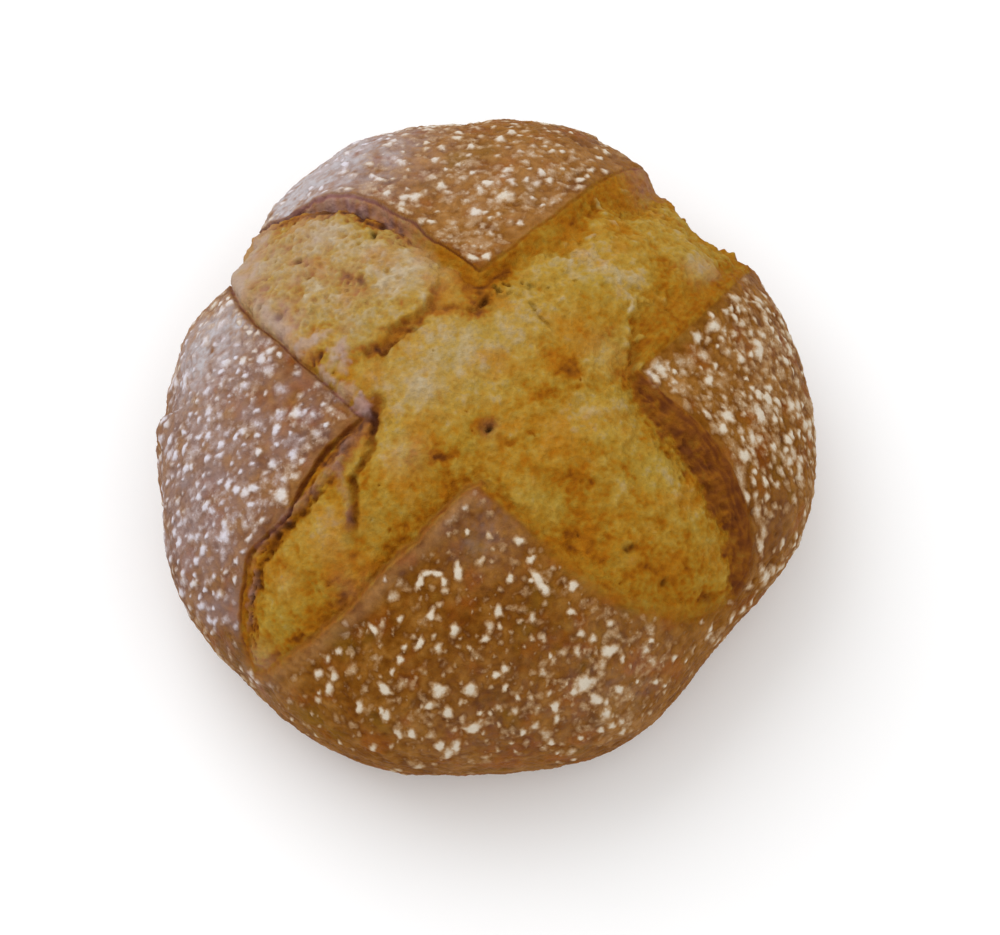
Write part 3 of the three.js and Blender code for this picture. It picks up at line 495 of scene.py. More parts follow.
def soft_spots(q, rows, column):
    """The sum of round soft spots: each row is place, radius and values, of which last zeros are left out."""
    total = np.zeros(len(q))
    for row in rows:
        if len(row) > column:
            total += row[column] * np.exp(-((q[:, 0] - row[0]) ** 2 + (q[:, 1] - row[1]) ** 2) / row[2] ** 2)
    return total


# ---- the plain dome
def side_outline(count=1200):
    """The dome's side from the crown to the foot: run along it, share of the plan's radius, and height."""
    a = np.linspace(0, np.pi / 2, count)
    upper = np.sin(a) ** (2 / CROWN_POWER)
    upper_z = WAIST_Z + (HEIGHT - WAIST_Z) * np.cos(a) ** (2 / SHOULDER_POWER)
    b = a[1:]
    lower = FOOT_SHARE + (1 - FOOT_SHARE) * np.cos(b) ** (2 / FOOT_POWER)
    lower_z = WAIST_Z * (1 - np.sin(b) ** (2 / FOOT_POWER))
    share, z = np.concatenate([upper, lower]), np.concatenate([upper_z, lower_z])
    run = np.concatenate([[0], np.cumsum(np.hypot(np.diff(share) * PLAN_RADIUS, np.diff(z)))])
    return run, share, z


SIDE_RUN, SIDE_SHARE, SIDE_Z = side_outline()
SKIN_REACH = SIDE_RUN[-1]


def base(q):
    run, angle = np.hypot(*q.T), np.arctan2(q[:, 1], q[:, 0])
    share, z = np.interp(run, SIDE_RUN, SIDE_SHARE), np.interp(run, SIDE_RUN, SIDE_Z)
    lobes = sum(size * np.cos(count * (angle - math.radians(crest))) for count, size, crest in PLAN_LOBES)
    radius = (PLAN_RADIUS + lobes * smooth(*LOBE_FADE, share)) * share
    return np.stack([radius * np.cos(angle), radius * np.sin(angle), z], -1)


def base_normal(q, step=0.4):
    across_u = base(q + (step, 0)) - base(q - (step, 0))
    across_v = base(q + (0, step)) - base(q - (0, step))
    normal = np.cross(across_u, across_v)
    return normal / np.linalg.norm(normal, axis=1, keepdims=True)


def flat_mesh():
    """Rings of map points and their triangles, growing by six points each to the shoulder."""
    radii = [CROWN_REACH * k / CROWN_RINGS for k in range(CROWN_RINGS + 1)]
    radii += [CROWN_REACH + (SKIN_REACH - CROWN_REACH) * k / RIM_RINGS for k in range(1, RIM_RINGS + 1)]
    q, triangles = [np.zeros((1, 2))], []
    start, inner_count = 0, 1
    for ring, radius in enumerate(radii[1:], 1):
        count = 6 * min(ring, CROWN_RINGS)
        angle = 2 * np.pi * np.arange(count) / count
        q.append(radius * np.stack([np.cos(angle), np.sin(angle)], -1))
        outer_start = start + inner_count
        k = np.arange(count)
        grows = count > inner_count
        sector = k // ring if grows else 0 * k
        own = start + (k - sector) % inner_count
        following = start + (k - sector + 1) % inner_count
        outer, outer_next = outer_start + k, outer_start + (k + 1) % count
        triangles.append(np.stack([own, outer, outer_next], -1))
        keep = (k % ring != ring - 1) if grows else np.ones(count, bool)
        triangles.append(np.stack([own, outer_next, following], -1)[keep])
        start, inner_count = outer_start, count
    return np.vstack(q), np.vstack(triangles), np.arange(start, start + inner_count)


# ---- the relief and the tones
def edge_mix(q):
    """What the petals' edges do at each map point: every edge counts by how near it is."""
    near, weights = {}, {}
    for name, edge in EDGES.items():
        near[name] = nearest(q, edge["curve"])
        weights[name] = (near[name][0] + 0.5) ** -4.0
    total = sum(weights.values())
    weights = {name: weight / total for name, weight in weights.items()}
    mix = {"near": weights, "distance": np.min([found[0] for found in near.values()], axis=0), "slit": 0}
    for key in EDGE_VALUES:
        mix[key] = 0
        for name, edge in EDGES.items():
            value = edge[key]
            if isinstance(value, tuple):
                value = np.interp(near[name][2], (0, 0.45, 1), value)
            elif isinstance(value, list):
                value = np.interp(near[name][1], *zip(*value))
            mix[key] = mix[key] + weights[name] * value
    for name, edge in EDGES.items():
        at, half, depth = edge["slit"]
        depth = depth * (1 - smooth(*SLIT_END, near[name][2]))
        mix["slit"] = mix["slit"] + weights[name] * depth * bump(mix["distance"], at, half)
    mix["run"] = np.choose(np.argmax(list(weights.values()), axis=0), [found[1] for found in near.values()])
    return mix


class Skin:
    """The loaf's skin at its mesh points: height off the plain dome, and the tones of its finish."""

    def __init__(self, q):
        self.q, self.points, self.normals = q, base(q), base_normal(q)
        p = self.points
        self.frayed = q + np.stack([layers(p, (0.35, 9, 5), (0.28, 3, 7)),
                                    layers(p, (0.35, 9, 6), (0.28, 3, 8))], -1)
        self.ragged = q + np.stack([layers(p, (0.9, 5, 9), (0.5, 2.2, 10), (0.25, 1.1, 17)),
                                    layers(p, (0.9, 5, 18), (0.5, 2.2, 19), (0.25, 1.1, 20))], -1)
        self.mix = edge_mix(self.frayed)
        self.crumble = layers(p, (1, 1.9, 78), (0.6, 1.1, 79))
        outline = np.vstack([EDGES[name]["curve"][::way][:-1] for name, way in OUTLINE_ORDER])
        within = inside(self.frayed, outline)
        self.into = np.where(within, self.mix["distance"], -self.mix["distance"])
        self.tones = {name: np.zeros(len(q)) for name in FOOT_TONES}
        self.height = np.zeros(len(q))
        self.tree = KDTree(len(q))
        for k, point in enumerate(p):
            self.tree.insert(point, k)
        self.tree.balance()
        # streaks that run along the nearest edge
        along = np.stack([self.into / 1.3, self.mix["run"] / 7, 0 * self.into], -1)
        self.streaks = ridged(along + 0.3 * noise(p, 4, 15)[:, None], 1, 14)
        self.shreds = ridged(along + 0.5 * noise(p, 3, 24)[:, None], 1, 25)

    def shape_edges(self):
        mix, p, into = self.mix, self.points, self.into
        lip = mix["lip"] * (1 + 0.25 * noise(p, 7, 11))
        inward = np.maximum(into, 0)
        wall = mix["wall"] * (1 + layers(p, (0.30, 5, 12), (0.24, 2.4, 13), (0.14, 1.3, 16)))
        share = inward / wall
        drop = smooth(0, 1, share)
        crust = lip * np.exp(-np.maximum(-into, 0) / mix["curl"]) - CRUST_SINK
        opening = (lip - CRUST_SINK) * (1 - drop) + mix["foot"] * drop
        opening += (BULGE - mix["foot"]) * (1 - np.exp(-np.maximum(inward - wall, 0) / mix["rise"]))
        self.height += np.where(into > 0, opening, crust)
        self.height -= mix["soft"] * bump(mix["distance"], 0, 1.6) + mix["slit"] * (into > 0)
        self.torn = smooth(0.55, 1.15, share) * (into > 0)
        self.side = 1 - smooth(0.95 - mix["melt"], 0.95 + mix["melt"], share)
        self.side *= smooth(-1.4 * mix["blend"], 0.3 * mix["blend"], into)
        rough = 0.30 + 1.3 * np.clip(mix["wine"], 0, 0.6)
        self.height += self.side * rough * (0.25 * self.streaks + layers(p, (0.26, 2.2, 26), (0.18, 1.2, 27)))
        self.foot = bump(inward, wall + 1.2, 2.4 + 2.0 * mix["shreds"]) * (into > 0)
        self.foot *= np.clip(0.9 + 0.7 * noise(p, 2, 28), 0, 1)
        self.height += self.foot * mix["shreds"] * (0.8 * self.shreds - 0.1)
        # the south petal's left edge is a rounded ridge
        self.ridge = mix["near"]["south_left"] * bump(-into, 1.9, 3.1)
        self.ridge *= 1 - 0.6 * smooth(45, 75, mix["run"])
        self.height += 0.7 * self.ridge

    def shape_crumb(self):
        p, (u, v) = self.points, self.q.T
        self.height += self.torn * (layers(p, (1.3, 17, 21), (0.8, 9, 22)) + 0.55 * ridged(p, 6.5, 23))
        # the raised piece in the north-west arm is coarser, and its far end is finer
        raised = smooth(-10, -35, u) * smooth(0, 15, v) * (1 - 1.6 * smooth(-66, -82, u))
        self.grain = layers(p, (0.18, 4.6, 50), (0.26, 3, 51), (0.22, 1.8, 52), (0.24, 1.15, 53))
        self.grain *= 1 + 0.8 * raised
        self.height += self.torn * self.grain

    def shape_steps(self):
        self.height += soft_spots(self.q, SWELLS, 3)
        for row in STEPS:
            distance, _, share, side = nearest(self.ragged, curve_through(row["at"]))
            fade = smooth(0, row["fade"][0], share) * smooth(0, row["fade"][1], 1 - share)
            (rise, reach), (drop, drop_reach) = row["above"], row["below"]
            left = smooth(-1.0, 0.6, distance * side + 0.5 * noise(self.points, 1.8, 30))
            self.height += fade * left * rise * np.exp(-(distance / reach) ** 2)
            self.height += fade * (1 - left) * drop * np.exp(-(distance / drop_reach) ** 2)
            face = fade * bump(distance * side, -0.5 * row["face"], row["face"])
            shredded = {**row, "height": 0.25 * self.shreds - 0.15}
            self.mark(face * (1 + 0.6 * noise(self.points, 1.7, 29)), shredded)

    def shape_crust(self):
        p, crust = self.points, 1 - self.torn
        self.height += crust * layers(p, (0.5, 24, 31), (0.34, 8, 32))
        self.wrinkle = 0.30 * noise(p, 4.5, 61) + 0.24 * ridged(p, 2.8, 62) + 0.15 * noise(p, 1.4, 63)
        self.height += crust * self.wrinkle

    def mark(self, amount, row):
        """Adds one line's or spot's relief and tints, where amount (0 to 1) says."""
        self.height += amount * row["height"]
        for name in self.tones:
            if name in row:
                self.tones[name] += amount * row[name]

    def draw_lines(self):
        ragged = 0.8 + 0.5 * noise(self.points, 4, 41)
        for row in LINES.values():
            curve = curve_through(row["at"])
            near = np.abs(self.q - curve.mean(0)).max(1) < 70
            distance, _, share, _ = nearest(self.ragged[near], curve)
            fade = np.maximum(0.25, smooth(0, 0.15, np.minimum(share, 1 - share)))
            amount = np.zeros(len(self.q))
            amount[near] = bump(distance, 0, row["half"] * (0.8 + 0.4 * ragged[near])) * fade
            rough = row.get("rough", 0) * (0.55 * self.shreds + 0.9 * self.crumble - 0.3)
            self.mark(amount * np.clip(1 + rough, 0, 1.6) * np.clip(ragged, 0.3, 1.3), row)

    def draw_spots(self):
        for row in SPOTS:
            if "long" in row:
                index, turn = self.index_at(*row["at"]), math.radians(row["turn"])
                near, value = self.stamp(index, row["radius"], row["long"], turn, (*row["at"], 0.0))
                amount = np.zeros(len(self.q))
                amount[near] = smooth(-0.25, 0.7, value + 0.35 * self.crumble[near])
            else:
                amount = np.exp(-(np.hypot(*(self.ragged - row["at"]).T) / row["radius"]) ** 2)
            if "porous" in row:
                amount *= smooth(-0.1, 0.55, self.crumble)
            self.mark(amount, row)

    def index_at(self, u, v):
        return int(np.argmin(np.hypot(self.q[:, 0] - u, self.q[:, 1] - v)))

    def stamp(self, index, radius, stretch, direction, wobble):
        """A ragged blob round one mesh point: the points near it, and 1 at its middle to 0 at its rim."""
        centre = self.points[index]
        near = np.array([item[1] for item in self.tree.find_range(centre, radius * stretch * 1.5)])
        d = (self.points[near] - centre) * (1.0, 1.0, 0.55)
        normal = self.normals[index]
        right = np.array([math.cos(direction), math.sin(direction), 0.0])
        right -= normal * right.dot(normal)
        right /= np.linalg.norm(right)
        x, y = d @ right / stretch, d @ np.cross(normal, right)
        angle = np.arctan2(y, x)
        rim = 1 + 0.16 * np.sin(2 * angle + wobble[0]) + 0.12 * np.sin(3 * angle + wobble[1])
        rim += 0.06 * np.sin(5 * angle + wobble[2])
        return near, 1 - np.hypot(x, y) / (radius * rim) + 0.15 * self.crumble[near]

    def scatter(self, rng, density, spacing):
        """Mesh points picked at random with density (to the square centimetre), not too close."""
        p = self.points
        area = (CROWN_REACH / CROWN_RINGS * 0.1) ** 2 * math.sqrt(3) / 2
        picked = np.flatnonzero(rng.random(len(p)) < density * area)
        rng.shuffle(picked)
        kept, grid = [], {}
        for index in picked:
            cell = tuple((p[index] // spacing).astype(int))
            round_it = itertools.product(*((c - 1, c, c + 1) for c in cell))
            others = [other for key in round_it for other in grid.get(key, ())]
            if all(np.sum((p[other] - p[index]) ** 2) >= spacing**2 for other in others):
                kept.append(index)
                grid.setdefault(cell, []).append(index)
        return kept

    def petal_values(self):
        """The values in PETALS at each mesh point, which has those of the nearest petal."""
        away = [np.hypot(*(self.q - petal["middle"]).T) for petal in PETALS.values()]
        which = np.argmin(away, axis=0)
        keys = ("along", "stretch", "size", "coarse", "fine", "dust")
        return {key: np.array([petal[key] for petal in PETALS.values()])[which] for key in keys}

    def dust_flour(self):
        rng = np.random.default_rng(FLOUR_SEED)
        p, q, flour, petal = self.points, self.q, np.zeros(len(self.q)), self.petal_values()
        thin = np.clip(1 + soft_spots(q, FLOUR_TONES, 3), 0.05, 3)
        patchy = np.clip(1 + 0.5 * noise(p, 16, 71), 0.2, 2)
        crust = smooth(0, 1, -self.into / self.mix["bare"]) * (self.into < 0)
        low = (smooth(4, 40, p[:, 2]) * 0.75 + 0.25) * np.clip(self.normals[:, 2], 0.45, 1)
        cover = thin * patchy * crust * low
        for kind, spacing, usual, faint, full in SPECKS:
            for index in self.scatter(rng, petal[kind] * cover, spacing):
                radius = usual * petal["size"][index] * math.exp(0.30 * rng.normal())
                long = 1 + (petal["stretch"][index] - 1) * (0.6 + 0.8 * rng.random())
                turn = math.radians(petal["along"][index]) + 0.45 * rng.normal()
                near, value = self.stamp(index, radius, long, turn, rng.random(3) * 6.3)
                strength = faint + (full - faint) * rng.random() ** 1.2
                strength *= 0.80 + 0.20 * smooth(25, 55, p[index, 2])
                flour[near] = np.maximum(flour[near], strength * smooth(-0.05, 0.95, value))
        for u, v, radius, long, turn, strength in CLUMPS:
            index = self.index_at(u, v)
            near, value = self.stamp(index, 1.35 * radius, long, math.radians(turn), rng.random(3) * 6.3)
            flour[near] = np.maximum(flour[near], strength * smooth(-0.05, 0.85, value))
        # noise drawn out along each petal's direction, for the net of dust between the specks and for the
        # haze of flour and painted sheen
        turn = np.radians(petal["along"])
        lengthwise = np.stack([np.cos(turn), np.sin(turn), 0 * turn], -1)
        run = (p * lengthwise).sum(1, keepdims=True)
        self.drawn = p - lengthwise * run * (1 - 1 / petal["stretch"][:, None])
        dust = petal["dust"] * cover
        net = layers(self.drawn, (1, 3, 75), (0.6, 1.6, 76)) + 0.4 * noise(p, 9, 77)
        net = 0.42 * smooth(-0.3, 0.9, net + 0.8 * np.clip(dust, 0, 1.2) - 0.45) * np.clip(cover, 0, 1)
        # flour haze and a painted sheen, strongest on the north-west and west, towards the key light
        haze_and_sheen = soft_spots(q, FLOUR_TONES, 4) * (0.95 + layers(self.drawn, (0.8, 3.6, 72), (0.6, 1.7, 73)))
        self.tones["haze_and_sheen"] = np.clip(haze_and_sheen, 0, 1) * smooth(0, 1.5, -self.into)
        self.tones["dust"] = dust
        self.tones["flour"] = np.maximum(flour, net) * (1 - smooth(-0.7, 0.6, self.into))
        self.height += 0.42 * self.tones["flour"] * (1 - self.torn)

    def open_pores(self):
        rng = np.random.default_rng(PORE_SEED)
        raised = smooth(-10, -40, self.q[:, 0]) * smooth(-5, 15, self.q[:, 1])
        density = self.torn * (0.5 + 3.0 * raised) * np.clip(1 + noise(self.points, 12, 74), 0.2, 2)
        pores = np.zeros(len(self.q))
        for index in self.scatter(rng, density, 1.4):
            radius = 0.55 * math.exp(0.35 * rng.normal())
            turn = math.radians(55) + 0.7 * rng.normal()
            near, value = self.stamp(index, radius, 1.0 + 1.2 * rng.random(), turn, rng.random(3) * 6.3)
            depth = 0.2 + 0.8 * rng.random() ** 1.5
            pores[near] = np.maximum(pores[near], depth * smooth(-0.15, 0.9, value))
        # the pores are browner and carry painted shade
        self.mark(pores, dict(height=-0.75, bake=0.22, pit=0.10))

    def colour(self):
        p, q, mix, tones = self.points, self.q, self.mix, self.tones
        tones["crumb"] = smooth(-mix["blend"], mix["blend"], self.into)
        bake = 0.47 + layers(p, (0.13, 15, 81), (0.09, 6, 82), (0.09, 2.8, 83))
        # the crumb is browner in the hollows of its grain and paler on its bumps: painted shade and light
        bake += soft_spots(q, CRUMB_TONES, 3) - 0.45 * self.grain
        # browner along the foot of the torn walls, and in the hollows between the shreds there: painted shade
        bake += 0.10 * np.exp(-np.maximum(self.into - mix["wall"], 0) / 4)
        shreds = mix["shreds"]
        bake += self.foot * (0.14 * np.clip(5 * shreds, 0, 1) + shreds * (0.20 - 0.26 * self.shreds))
        wall_bake = mix["bake"] + layers(p, (0.10, 4, 85), (0.12, 1.6, 86))
        # the torn side is paler and less wine-red on the crests of its streaks than between them: partly the
        # strands' own tone, partly painted light and shade
        wall_bake -= (0.04 + 0.20 * mix["wine"]) * self.streaks
        tones["bake"] += bake * (1 - self.side) + wall_bake * self.side
        # the slit below the lip is darkened with the wine and pit tints: painted shadow under the lip
        slit = mix["slit"] * (self.into > 0)
        wine = mix["wine"] * (0.85 + 0.5 * noise(p, 2.4, 88) - 0.25 * self.streaks)
        tones["wine"] += self.side * wine + 1.3 * slit
        # painted shade in the hollows between the shreds at the wall's foot, and in the slit
        tones["pit"] += self.foot * shreds * smooth(0.2, -0.6, self.shreds) * 0.5 + 0.08 * slit
        tones["skin"] += 0.56 + layers(p, (0.10, 21, 91), (0.12, 8, 92), (0.12, 3, 93))
        # the crust is a little darker in a thin ring round each flour speck: painted shade
        tones["skin"] += soft_spots(q, CRUST_TONES, 3) + 0.12 * bump(tones["flour"], 0.12, 0.12)
        tones["skin"] += 0.05 * np.exp(-np.maximum(-self.into, 0) / 3)
        # the crust is paler on the crests of its wrinkles than in their creases, and paler and more lilac
        # along the south ridge: painted light and shade, with a painted highlight on the ridge
        tones["skin"] -= 0.4 * self.wrinkle + 0.20 * self.ridge
        lilac = np.clip(soft_spots(q, CRUMB_TONES, 4), 0, 1) * self.torn * (0.8 + 0.5 * noise(p, 3, 87))
        lilac += self.side * mix["lilac"] * (0.8 + 0.6 * noise(p, 2, 89)) + 0.15 * self.ridge
        # the crust's lilac cast is partly its own tone and partly a painted sheen
        cast = soft_spots(q, CRUST_TONES, 4) * (0.9 + layers(p, (0.7, 7, 94), (0.4, 3, 95)))
        tones["lilac"] += lilac + np.maximum(cast, 0) * (1 - tones["crumb"])
        for name in tones:
            if name != "flour":
                tones[name] = np.clip(tones[name], 0, 1)


def make_skin(q):
    for edge in EDGES.values():
        edge["curve"] = curve_through([TIPS[edge["tip"]], *edge["through"], ARM_ENDS[edge["end"]]])
    skin = Skin(q)
    skin.shape_edges()
    skin.shape_crumb()
    skin.shape_steps()
    skin.shape_crust()
    skin.draw_lines()
    skin.draw_spots()
    skin.open_pores()
    skin.dust_flour()
    skin.colour()
    return skin


# ---- materials
def surface(screen):
    """The finish that shows as this colour on screen (0 to 255) in the scene's light."""
    shares = [c / 255 for c in screen]
    light = [c / 12.92 if c <= 0.04045 else ((c + 0.055) / 1.055) ** 2.4 for c in shares]
    return (*(max(c - SHEEN_LEVEL, 0.002) / LIGHT_LEVEL for c in light), 1.0)


FINISHES = {name: surface(screen) for name, screen in TINTS.items()}


class Nodes:
    """A small builder for node trees."""

    def __init__(self, material):
        material.use_nodes = True
        self.tree = material.node_tree
        self.tree.nodes.clear()

    def new(self, kind, **settings):
        node = self.tree.nodes.new(kind)
        for key, value in settings.items():
            setattr(node, key, value)
        return node

    def feed(self, socket, value):
        if isinstance(value, bpy.types.NodeSocket):
            self.tree.links.new(value, socket)
        else:
            socket.default_value = value

    def math(self, operation, *values, clamp=False):
        node = self.new("ShaderNodeMath", operation=operation, use_clamp=clamp)
        for socket, value in zip(node.inputs, values):
            self.feed(socket, value)
        return node.outputs[0]

    def plus(self, *values, clamp=False):
        return self.math("ADD", *values, clamp=clamp)

    def times(self, *values, clamp=False):
        return self.math("MULTIPLY", *values, clamp=clamp)

    def mix(self, factor, first, second, blend="MIX"):
        node = self.new("ShaderNodeMix", data_type="RGBA", blend_type=blend, clamp_factor=True)
        for place, value in ((0, factor), (6, first), (7, second)):
            self.feed(node.inputs[place], value)
        return node.outputs[2]

    def tint(self, colour, amount, share, name):
        """The colour turned by up to a share into one of FINISHES."""
        return self.mix(self.times(amount, share), colour, FINISHES[name])

    def attribute(self, name, output="Fac"):
        return self.new("ShaderNodeAttribute", attribute_type="GEOMETRY", attribute_name=name).outputs[output]

    def ramp(self, factor, stops):
        node = self.new("ShaderNodeValToRGB")
        self.feed(node.inputs[0], factor)
        elements = node.color_ramp.elements
        while len(elements) < len(stops):
            elements.new(0.5)
        for element, (place, colour) in zip(elements, stops):
            element.position, element.color = place, colour
        return node.outputs[0]

    def grain(self, where, scale, detail=3.0, rough=0.6):
        node = self.new("ShaderNodeTexNoise")
        for name, value in (("Vector", where), ("Scale", scale), ("Detail", detail), ("Roughness", rough)):
            self.feed(node.inputs[name], value)
        return node.outputs["Fac"]

    def flecks(self, where, scale, size, share):
        """Small round specks, in the given share of a pattern's cells, each of its own strength."""
        cells = self.new("ShaderNodeTexVoronoi", voronoi_dimensions="3D", feature="F1")
        self.feed(cells.inputs["Vector"], where)
        self.feed(cells.inputs["Scale"], scale)
        lot = self.new("ShaderNodeSeparateColor")
        self.feed(lot.inputs[0], cells.outputs["Color"])
        disc = self.step(-size, -0.3 * size, self.times(cells.outputs["Distance"], -1.0))
        present = self.step(0.0, 0.12, self.math("SUBTRACT", share, lot.outputs[0]))
        strength = self.plus(0.45, self.times(lot.outputs[1], 0.55))
        return self.times(self.times(disc, present), strength)

    def step(self, low, high, value):
        node = self.new("ShaderNodeMapRange", interpolation_type="SMOOTHSTEP")
        for name, given in (("Value", value), ("From Min", low), ("From Max", high)):
            self.feed(node.inputs[name], given)
        return node.outputs[0]

    def swing(self, factor, size):
        """Noise of 0 to 1 as a swing of about -size to size."""
        return self.times(self.math("SUBTRACT", factor, 0.5), 2 * size)

    def finish(self, shader):
        self.feed(self.new("ShaderNodeOutputMaterial").inputs["Surface"], shader.outputs[0])


def bread_material():
    material = bpy.data.materials.new("soda_bread")
    n = Nodes(material)
    where = n.new("ShaderNodeTexCoord").outputs["Object"]
    fine = n.grain(where, 1000, 3, 0.65)
    small = n.grain(where, 450)
    drawn_small = n.grain(n.attribute("drawn", "Vector"), 430)
    broad = n.grain(where, 62)
    hue = n.grain(where, 100, 2, 0.5)
    crumb, haze_and_sheen, lilac, wine = (n.attribute(name) for name in ("crumb", "haze_and_sheen", "lilac", "wine"))

    skin = n.plus(n.attribute("skin"), n.swing(drawn_small, 0.16))
    skin = n.plus(skin, n.swing(fine, 0.10))
    skin = n.plus(skin, n.swing(broad, 0.20), clamp=True)
    crust = n.ramp(skin, [(place, surface(screen)) for place, *screen in CRUST_COLOURS])
    crust = n.tint(crust, n.step(0.52, 0.70, hue), 0.40, "rust")
    crust = n.tint(crust, n.step(0.54, 0.74, broad), 0.35, "olive crust")

    bake = n.plus(n.attribute("bake"), n.swing(fine, 0.10))
    bake = n.plus(bake, n.swing(small, 0.17), clamp=True)
    torn = n.ramp(bake, [(place, surface(screen)) for place, *screen in CRUMB_COLOURS])
    patches = n.plus(n.times(hue, 0.6), n.times(broad, 0.4))
    pale = n.step(0.68, 0.52, bake)
    torn = n.tint(torn, n.step(0.50, 0.62, patches), 0.42, "orange")
    torn = n.tint(torn, n.times(n.step(0.50, 0.36, patches), pale), 0.28, "olive")
    torn = n.tint(torn, n.times(n.step(0.56, 0.74, small), pale), 0.17, "cream")

    colour = n.mix(crumb, crust, torn)
    # fine light and dark over the whole loaf from the same noise as the bump: random tone and painted light
    # and shade on the fine relief
    mottle_and_shade = n.plus(1.0, n.plus(n.swing(fine, 0.34), n.swing(small, 0.20)))
    colour = n.mix(1.0, colour, mottle_and_shade, blend="MULTIPLY")
    colour = n.mix(wine, colour, FINISHES["wine"])
    torn_lilac = n.mix(n.times(wine, 2.0, clamp=True), FINISHES["lilac crumb"], FINISHES["lilac tear"])
    colour = n.mix(n.times(lilac, 0.75), colour, n.mix(crumb, FINISHES["lilac crust"], torn_lilac))
    # painted shade in holes, pores, cracks and slits
    colour = n.tint(colour, n.attribute("pit"), 0.9, "pit")
    # the haze: flour haze and a painted sheen
    haze_and_sheen_share = n.times(haze_and_sheen, n.plus(n.swing(drawn_small, 1.0), 0.85), clamp=True)
    colour = n.mix(haze_and_sheen_share, colour, FINISHES["haze_and_sheen"])

    # flour: a thin veil, dust, and clumps on it; its white is cooler where the crust is lilac, and so follows
    # the crust's painted sheen in part
    cool = n.times(lilac, 2.0, clamp=True)
    flour = n.plus(n.attribute("flour"), n.times(n.flecks(where, 900, 0.46, n.attribute("dust")), 0.18))
    flour = n.plus(flour, n.times(n.swing(fine, 0.32), n.step(0.0, 0.30, flour)))
    veil = n.times(n.step(0.05, 0.60, flour), 0.80)
    colour = n.mix(veil, colour, n.mix(cool, FINISHES["warm veil"], FINISHES["cool veil"]))
    clump = n.times(n.step(0.38, 0.95, flour), 0.95)
    colour = n.mix(clump, colour, n.mix(cool, FINISHES["warm flour"], FINISHES["cool flour"]))

    rough = n.plus(n.plus(0.50, n.times(crumb, 0.22)), n.times(veil, 0.35))
    rough = n.plus(rough, n.swing(small, 0.12), clamp=True)
    bumps = n.plus(n.plus(n.times(fine, 0.6), small), n.times(veil, 0.30))
    relief = n.new("ShaderNodeBump")
    for name, value in (("Strength", 0.8), ("Distance", 0.0009), ("Height", bumps)):
        n.feed(relief.inputs[name], value)
    shader = n.new("ShaderNodeBsdfPrincipled")
    shader.inputs["Specular IOR Level"].default_value = 0.02
    for name, value in (("Base Color", colour), ("Roughness", rough), ("Normal", relief.outputs["Normal"])):
        n.feed(shader.inputs[name], value)
    n.finish(shader)
    return material


# ---- the loaf
def foot_rings(points, rim):
    """Rings under the foot and a point in the middle, as added points and triangles."""
    added, triangles = [], []
    count, middle, inner = len(points), points[rim].mean(0), rim
    for share in FOOT_SHARES:
        added.append(middle + (points[rim] - middle) * share)
        outer, inner = inner, count + np.arange(len(rim))
        count += len(rim)
        triangles.append(np.stack([outer, inner, np.roll(inner, -1)], -1))
        triangles.append(np.stack([outer, np.roll(inner, -1), np.roll(outer, -1)], -1))
    added.append(middle[None])
    triangles.append(np.stack([inner, np.full(len(inner), count), np.roll(inner, -1)], -1))
    return np.vstack(added), np.vstack(triangles)


def fit_to_solid(points):
    """Sets the points just inside the solid's box, standing on the floor."""
    low, high = points.min(0), points.max(0)
    want_low, want_high = np.array(CAD_LOW) / MM, np.array(CAD_HIGH) / MM
    scale = (want_high - want_low) * BOX_SHARE / (high - low)
    points = (points - (low + high) / 2) * scale + (want_low + want_high) / 2
    points[:, 2] -= points[:, 2].min()
    return points


def make_mesh(points, triangles):
    mesh = bpy.data.meshes.new("soda_bread")
    mesh.vertices.add(len(points))
    mesh.vertices.foreach_set("co", (points * MM).ravel())
    mesh.loops.add(triangles.size)
    mesh.loops.foreach_set("vertex_index", triangles.ravel())
    mesh.polygons.add(len(triangles))
    mesh.polygons.foreach_set("loop_start", np.arange(0, triangles.size, 3))
    mesh.polygons.foreach_set("loop_total", np.full(len(triangles), 3))
    mesh.polygons.foreach_set("use_smooth", np.ones(len(triangles), bool))
    mesh.update(calc_edges=True)
    mesh.validate()
    return mesh


def make_loaf():
    q, triangles, rim = flat_mesh()
    skin = make_skin(q)
    flat = smooth(0, FLAT_FOOT_Z, skin.points[:, 2])
    points = skin.points + skin.normals * (skin.height * flat)[:, None]
    points[rim, 2] = 0.0
    below, under = foot_rings(points, rim)
    points = fit_to_solid(np.vstack([points, below]))
    mesh = make_mesh(points, np.vstack([triangles, under]))

    for name, values in skin.tones.items():
        values = np.concatenate([values, np.full(len(below), FOOT_TONES[name])])
        mesh.attributes.new(name, "FLOAT", "POINT").data.foreach_set("value", values.astype(np.float32))
    drawn = (np.vstack([skin.drawn, points[-len(below):]]) * MM).astype(np.float32)
    mesh.attributes.new("drawn", "FLOAT_VECTOR", "POINT").data.foreach_set("vector", drawn.ravel())

    # the top of the map fills most of the square, and the foot a corner of it
    top_uv = 0.46 + q / SKIN_REACH * 0.455
    foot_radius = np.abs(points[rim] - points[-1])[:, :2].max()
    foot_uv = 0.875 + (points[:, :2] - points[-1, :2]) / foot_radius * 0.115
    uv = np.vstack([top_uv[triangles.ravel()], foot_uv[under.ravel()]])
    mesh.uv_layers.new(name="OFBake").data.foreach_set("uv", uv.ravel())

    loaf = bpy.data.objects.new("soda_bread", mesh)
    bpy.context.scene.collection.objects.link(loaf)
    mesh.materials.append(bread_material())
    return loaf


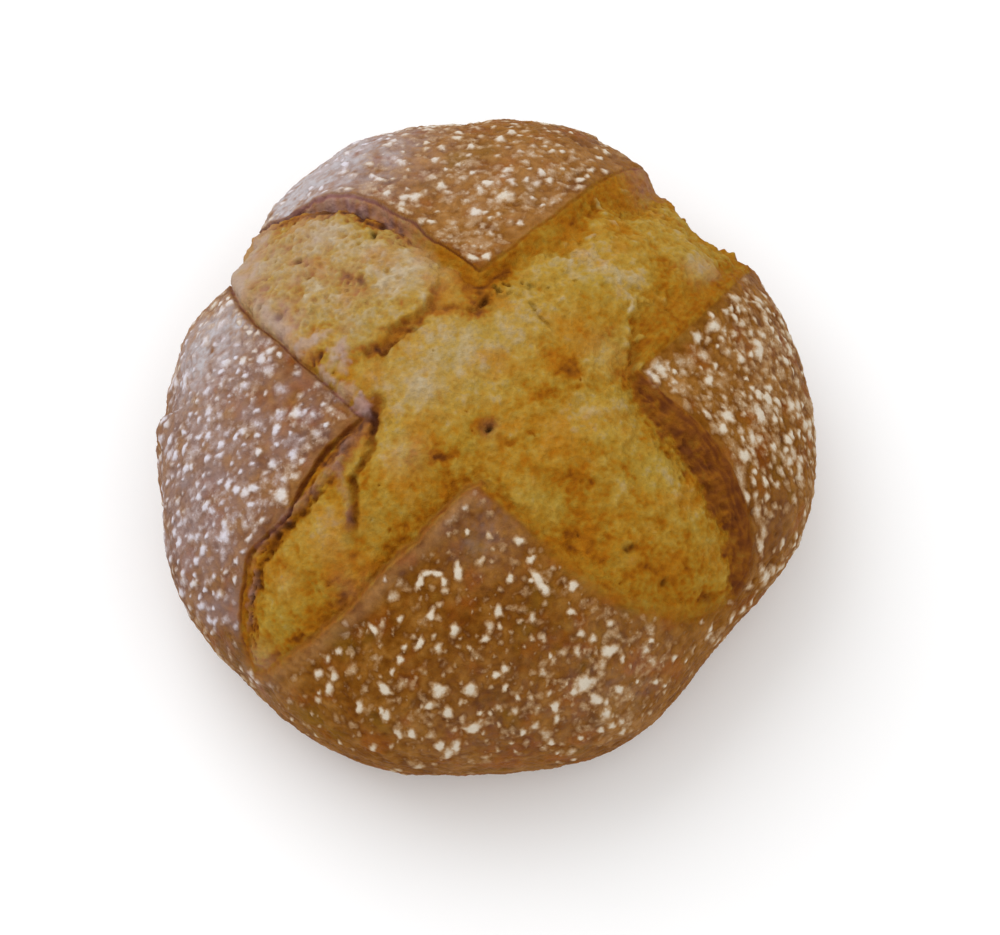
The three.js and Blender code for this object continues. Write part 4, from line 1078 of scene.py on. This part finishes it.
# ---- the stage
def make_camera():
    data = bpy.data.cameras.new("camera")
    data.lens, data.sensor_width = LENS, SENSOR
    data.clip_start, data.clip_end = 0.05, 20.0
    camera = bpy.data.objects.new("camera", data)
    tilt = math.radians(ELEVATION)
    back = Vector((0.0, -math.cos(tilt), math.sin(tilt)))
    camera.location = (Vector(LOOK_AT) + back * DISTANCE) * MM
    camera.rotation_euler = (-back).to_track_quat("-Z", "Y").to_euler()
    bpy.context.scene.collection.objects.link(camera)
    bpy.context.scene.camera = camera


def make_floor():
    material = bpy.data.materials.new("pale_floor")
    n = Nodes(material)
    where = n.new("ShaderNodeTexCoord").outputs["Object"]
    shader = n.new("ShaderNodeBsdfDiffuse")
    n.feed(shader.inputs["Color"], n.ramp(n.grain(where, 3, 2), FLOOR_GREYS))
    n.finish(shader)
    mesh = bpy.data.meshes.new("floor")
    corners = [(x * FLOOR_HALF, y * FLOOR_HALF, 0) for x, y in ((-1, -1), (1, -1), (1, 1), (-1, 1))]
    mesh.from_pydata(corners, [], [(0, 1, 2, 3)])
    mesh.materials.append(material)
    floor = bpy.data.objects.new("floor", mesh)
    floor.location.z = -FLOOR_GAP
    bpy.context.scene.collection.objects.link(floor)
    return floor


def make_light(name, azimuth, elevation, distance, size, power, colour):
    """A square soft light that looks at the loaf. Azimuth 0 is on the viewer's side, 90 on the right."""
    data = bpy.data.lights.new(name, "AREA")
    data.shape, data.size, data.energy, data.color = "SQUARE", size, power, colour
    light = bpy.data.objects.new(name, data)
    a, e = math.radians(azimuth), math.radians(elevation)
    away = Vector((math.sin(a) * math.cos(e), -math.cos(a) * math.cos(e), math.sin(e)))
    light.location = Vector(LIGHT_AIM) + away * distance
    light.rotation_euler = (-away).to_track_quat("-Z", "Y").to_euler()
    bpy.context.scene.collection.objects.link(light)


def make_world(strength):
    world = bpy.data.worlds.new("studio")
    bpy.context.scene.world = world
    world.use_nodes = True
    background = world.node_tree.nodes["Background"]
    background.inputs["Color"].default_value = (1.0, 1.0, 1.0, 1.0)
    background.inputs["Strength"].default_value = strength


make_camera()
make_world(WORLD_STRENGTH)
for light in LIGHTS:
    make_light(**light)
floor = make_floor()
bpy.context.scene.view_settings.view_transform = "Standard"

loaf = make_loaf()
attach(loaf, "root")
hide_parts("loaf")
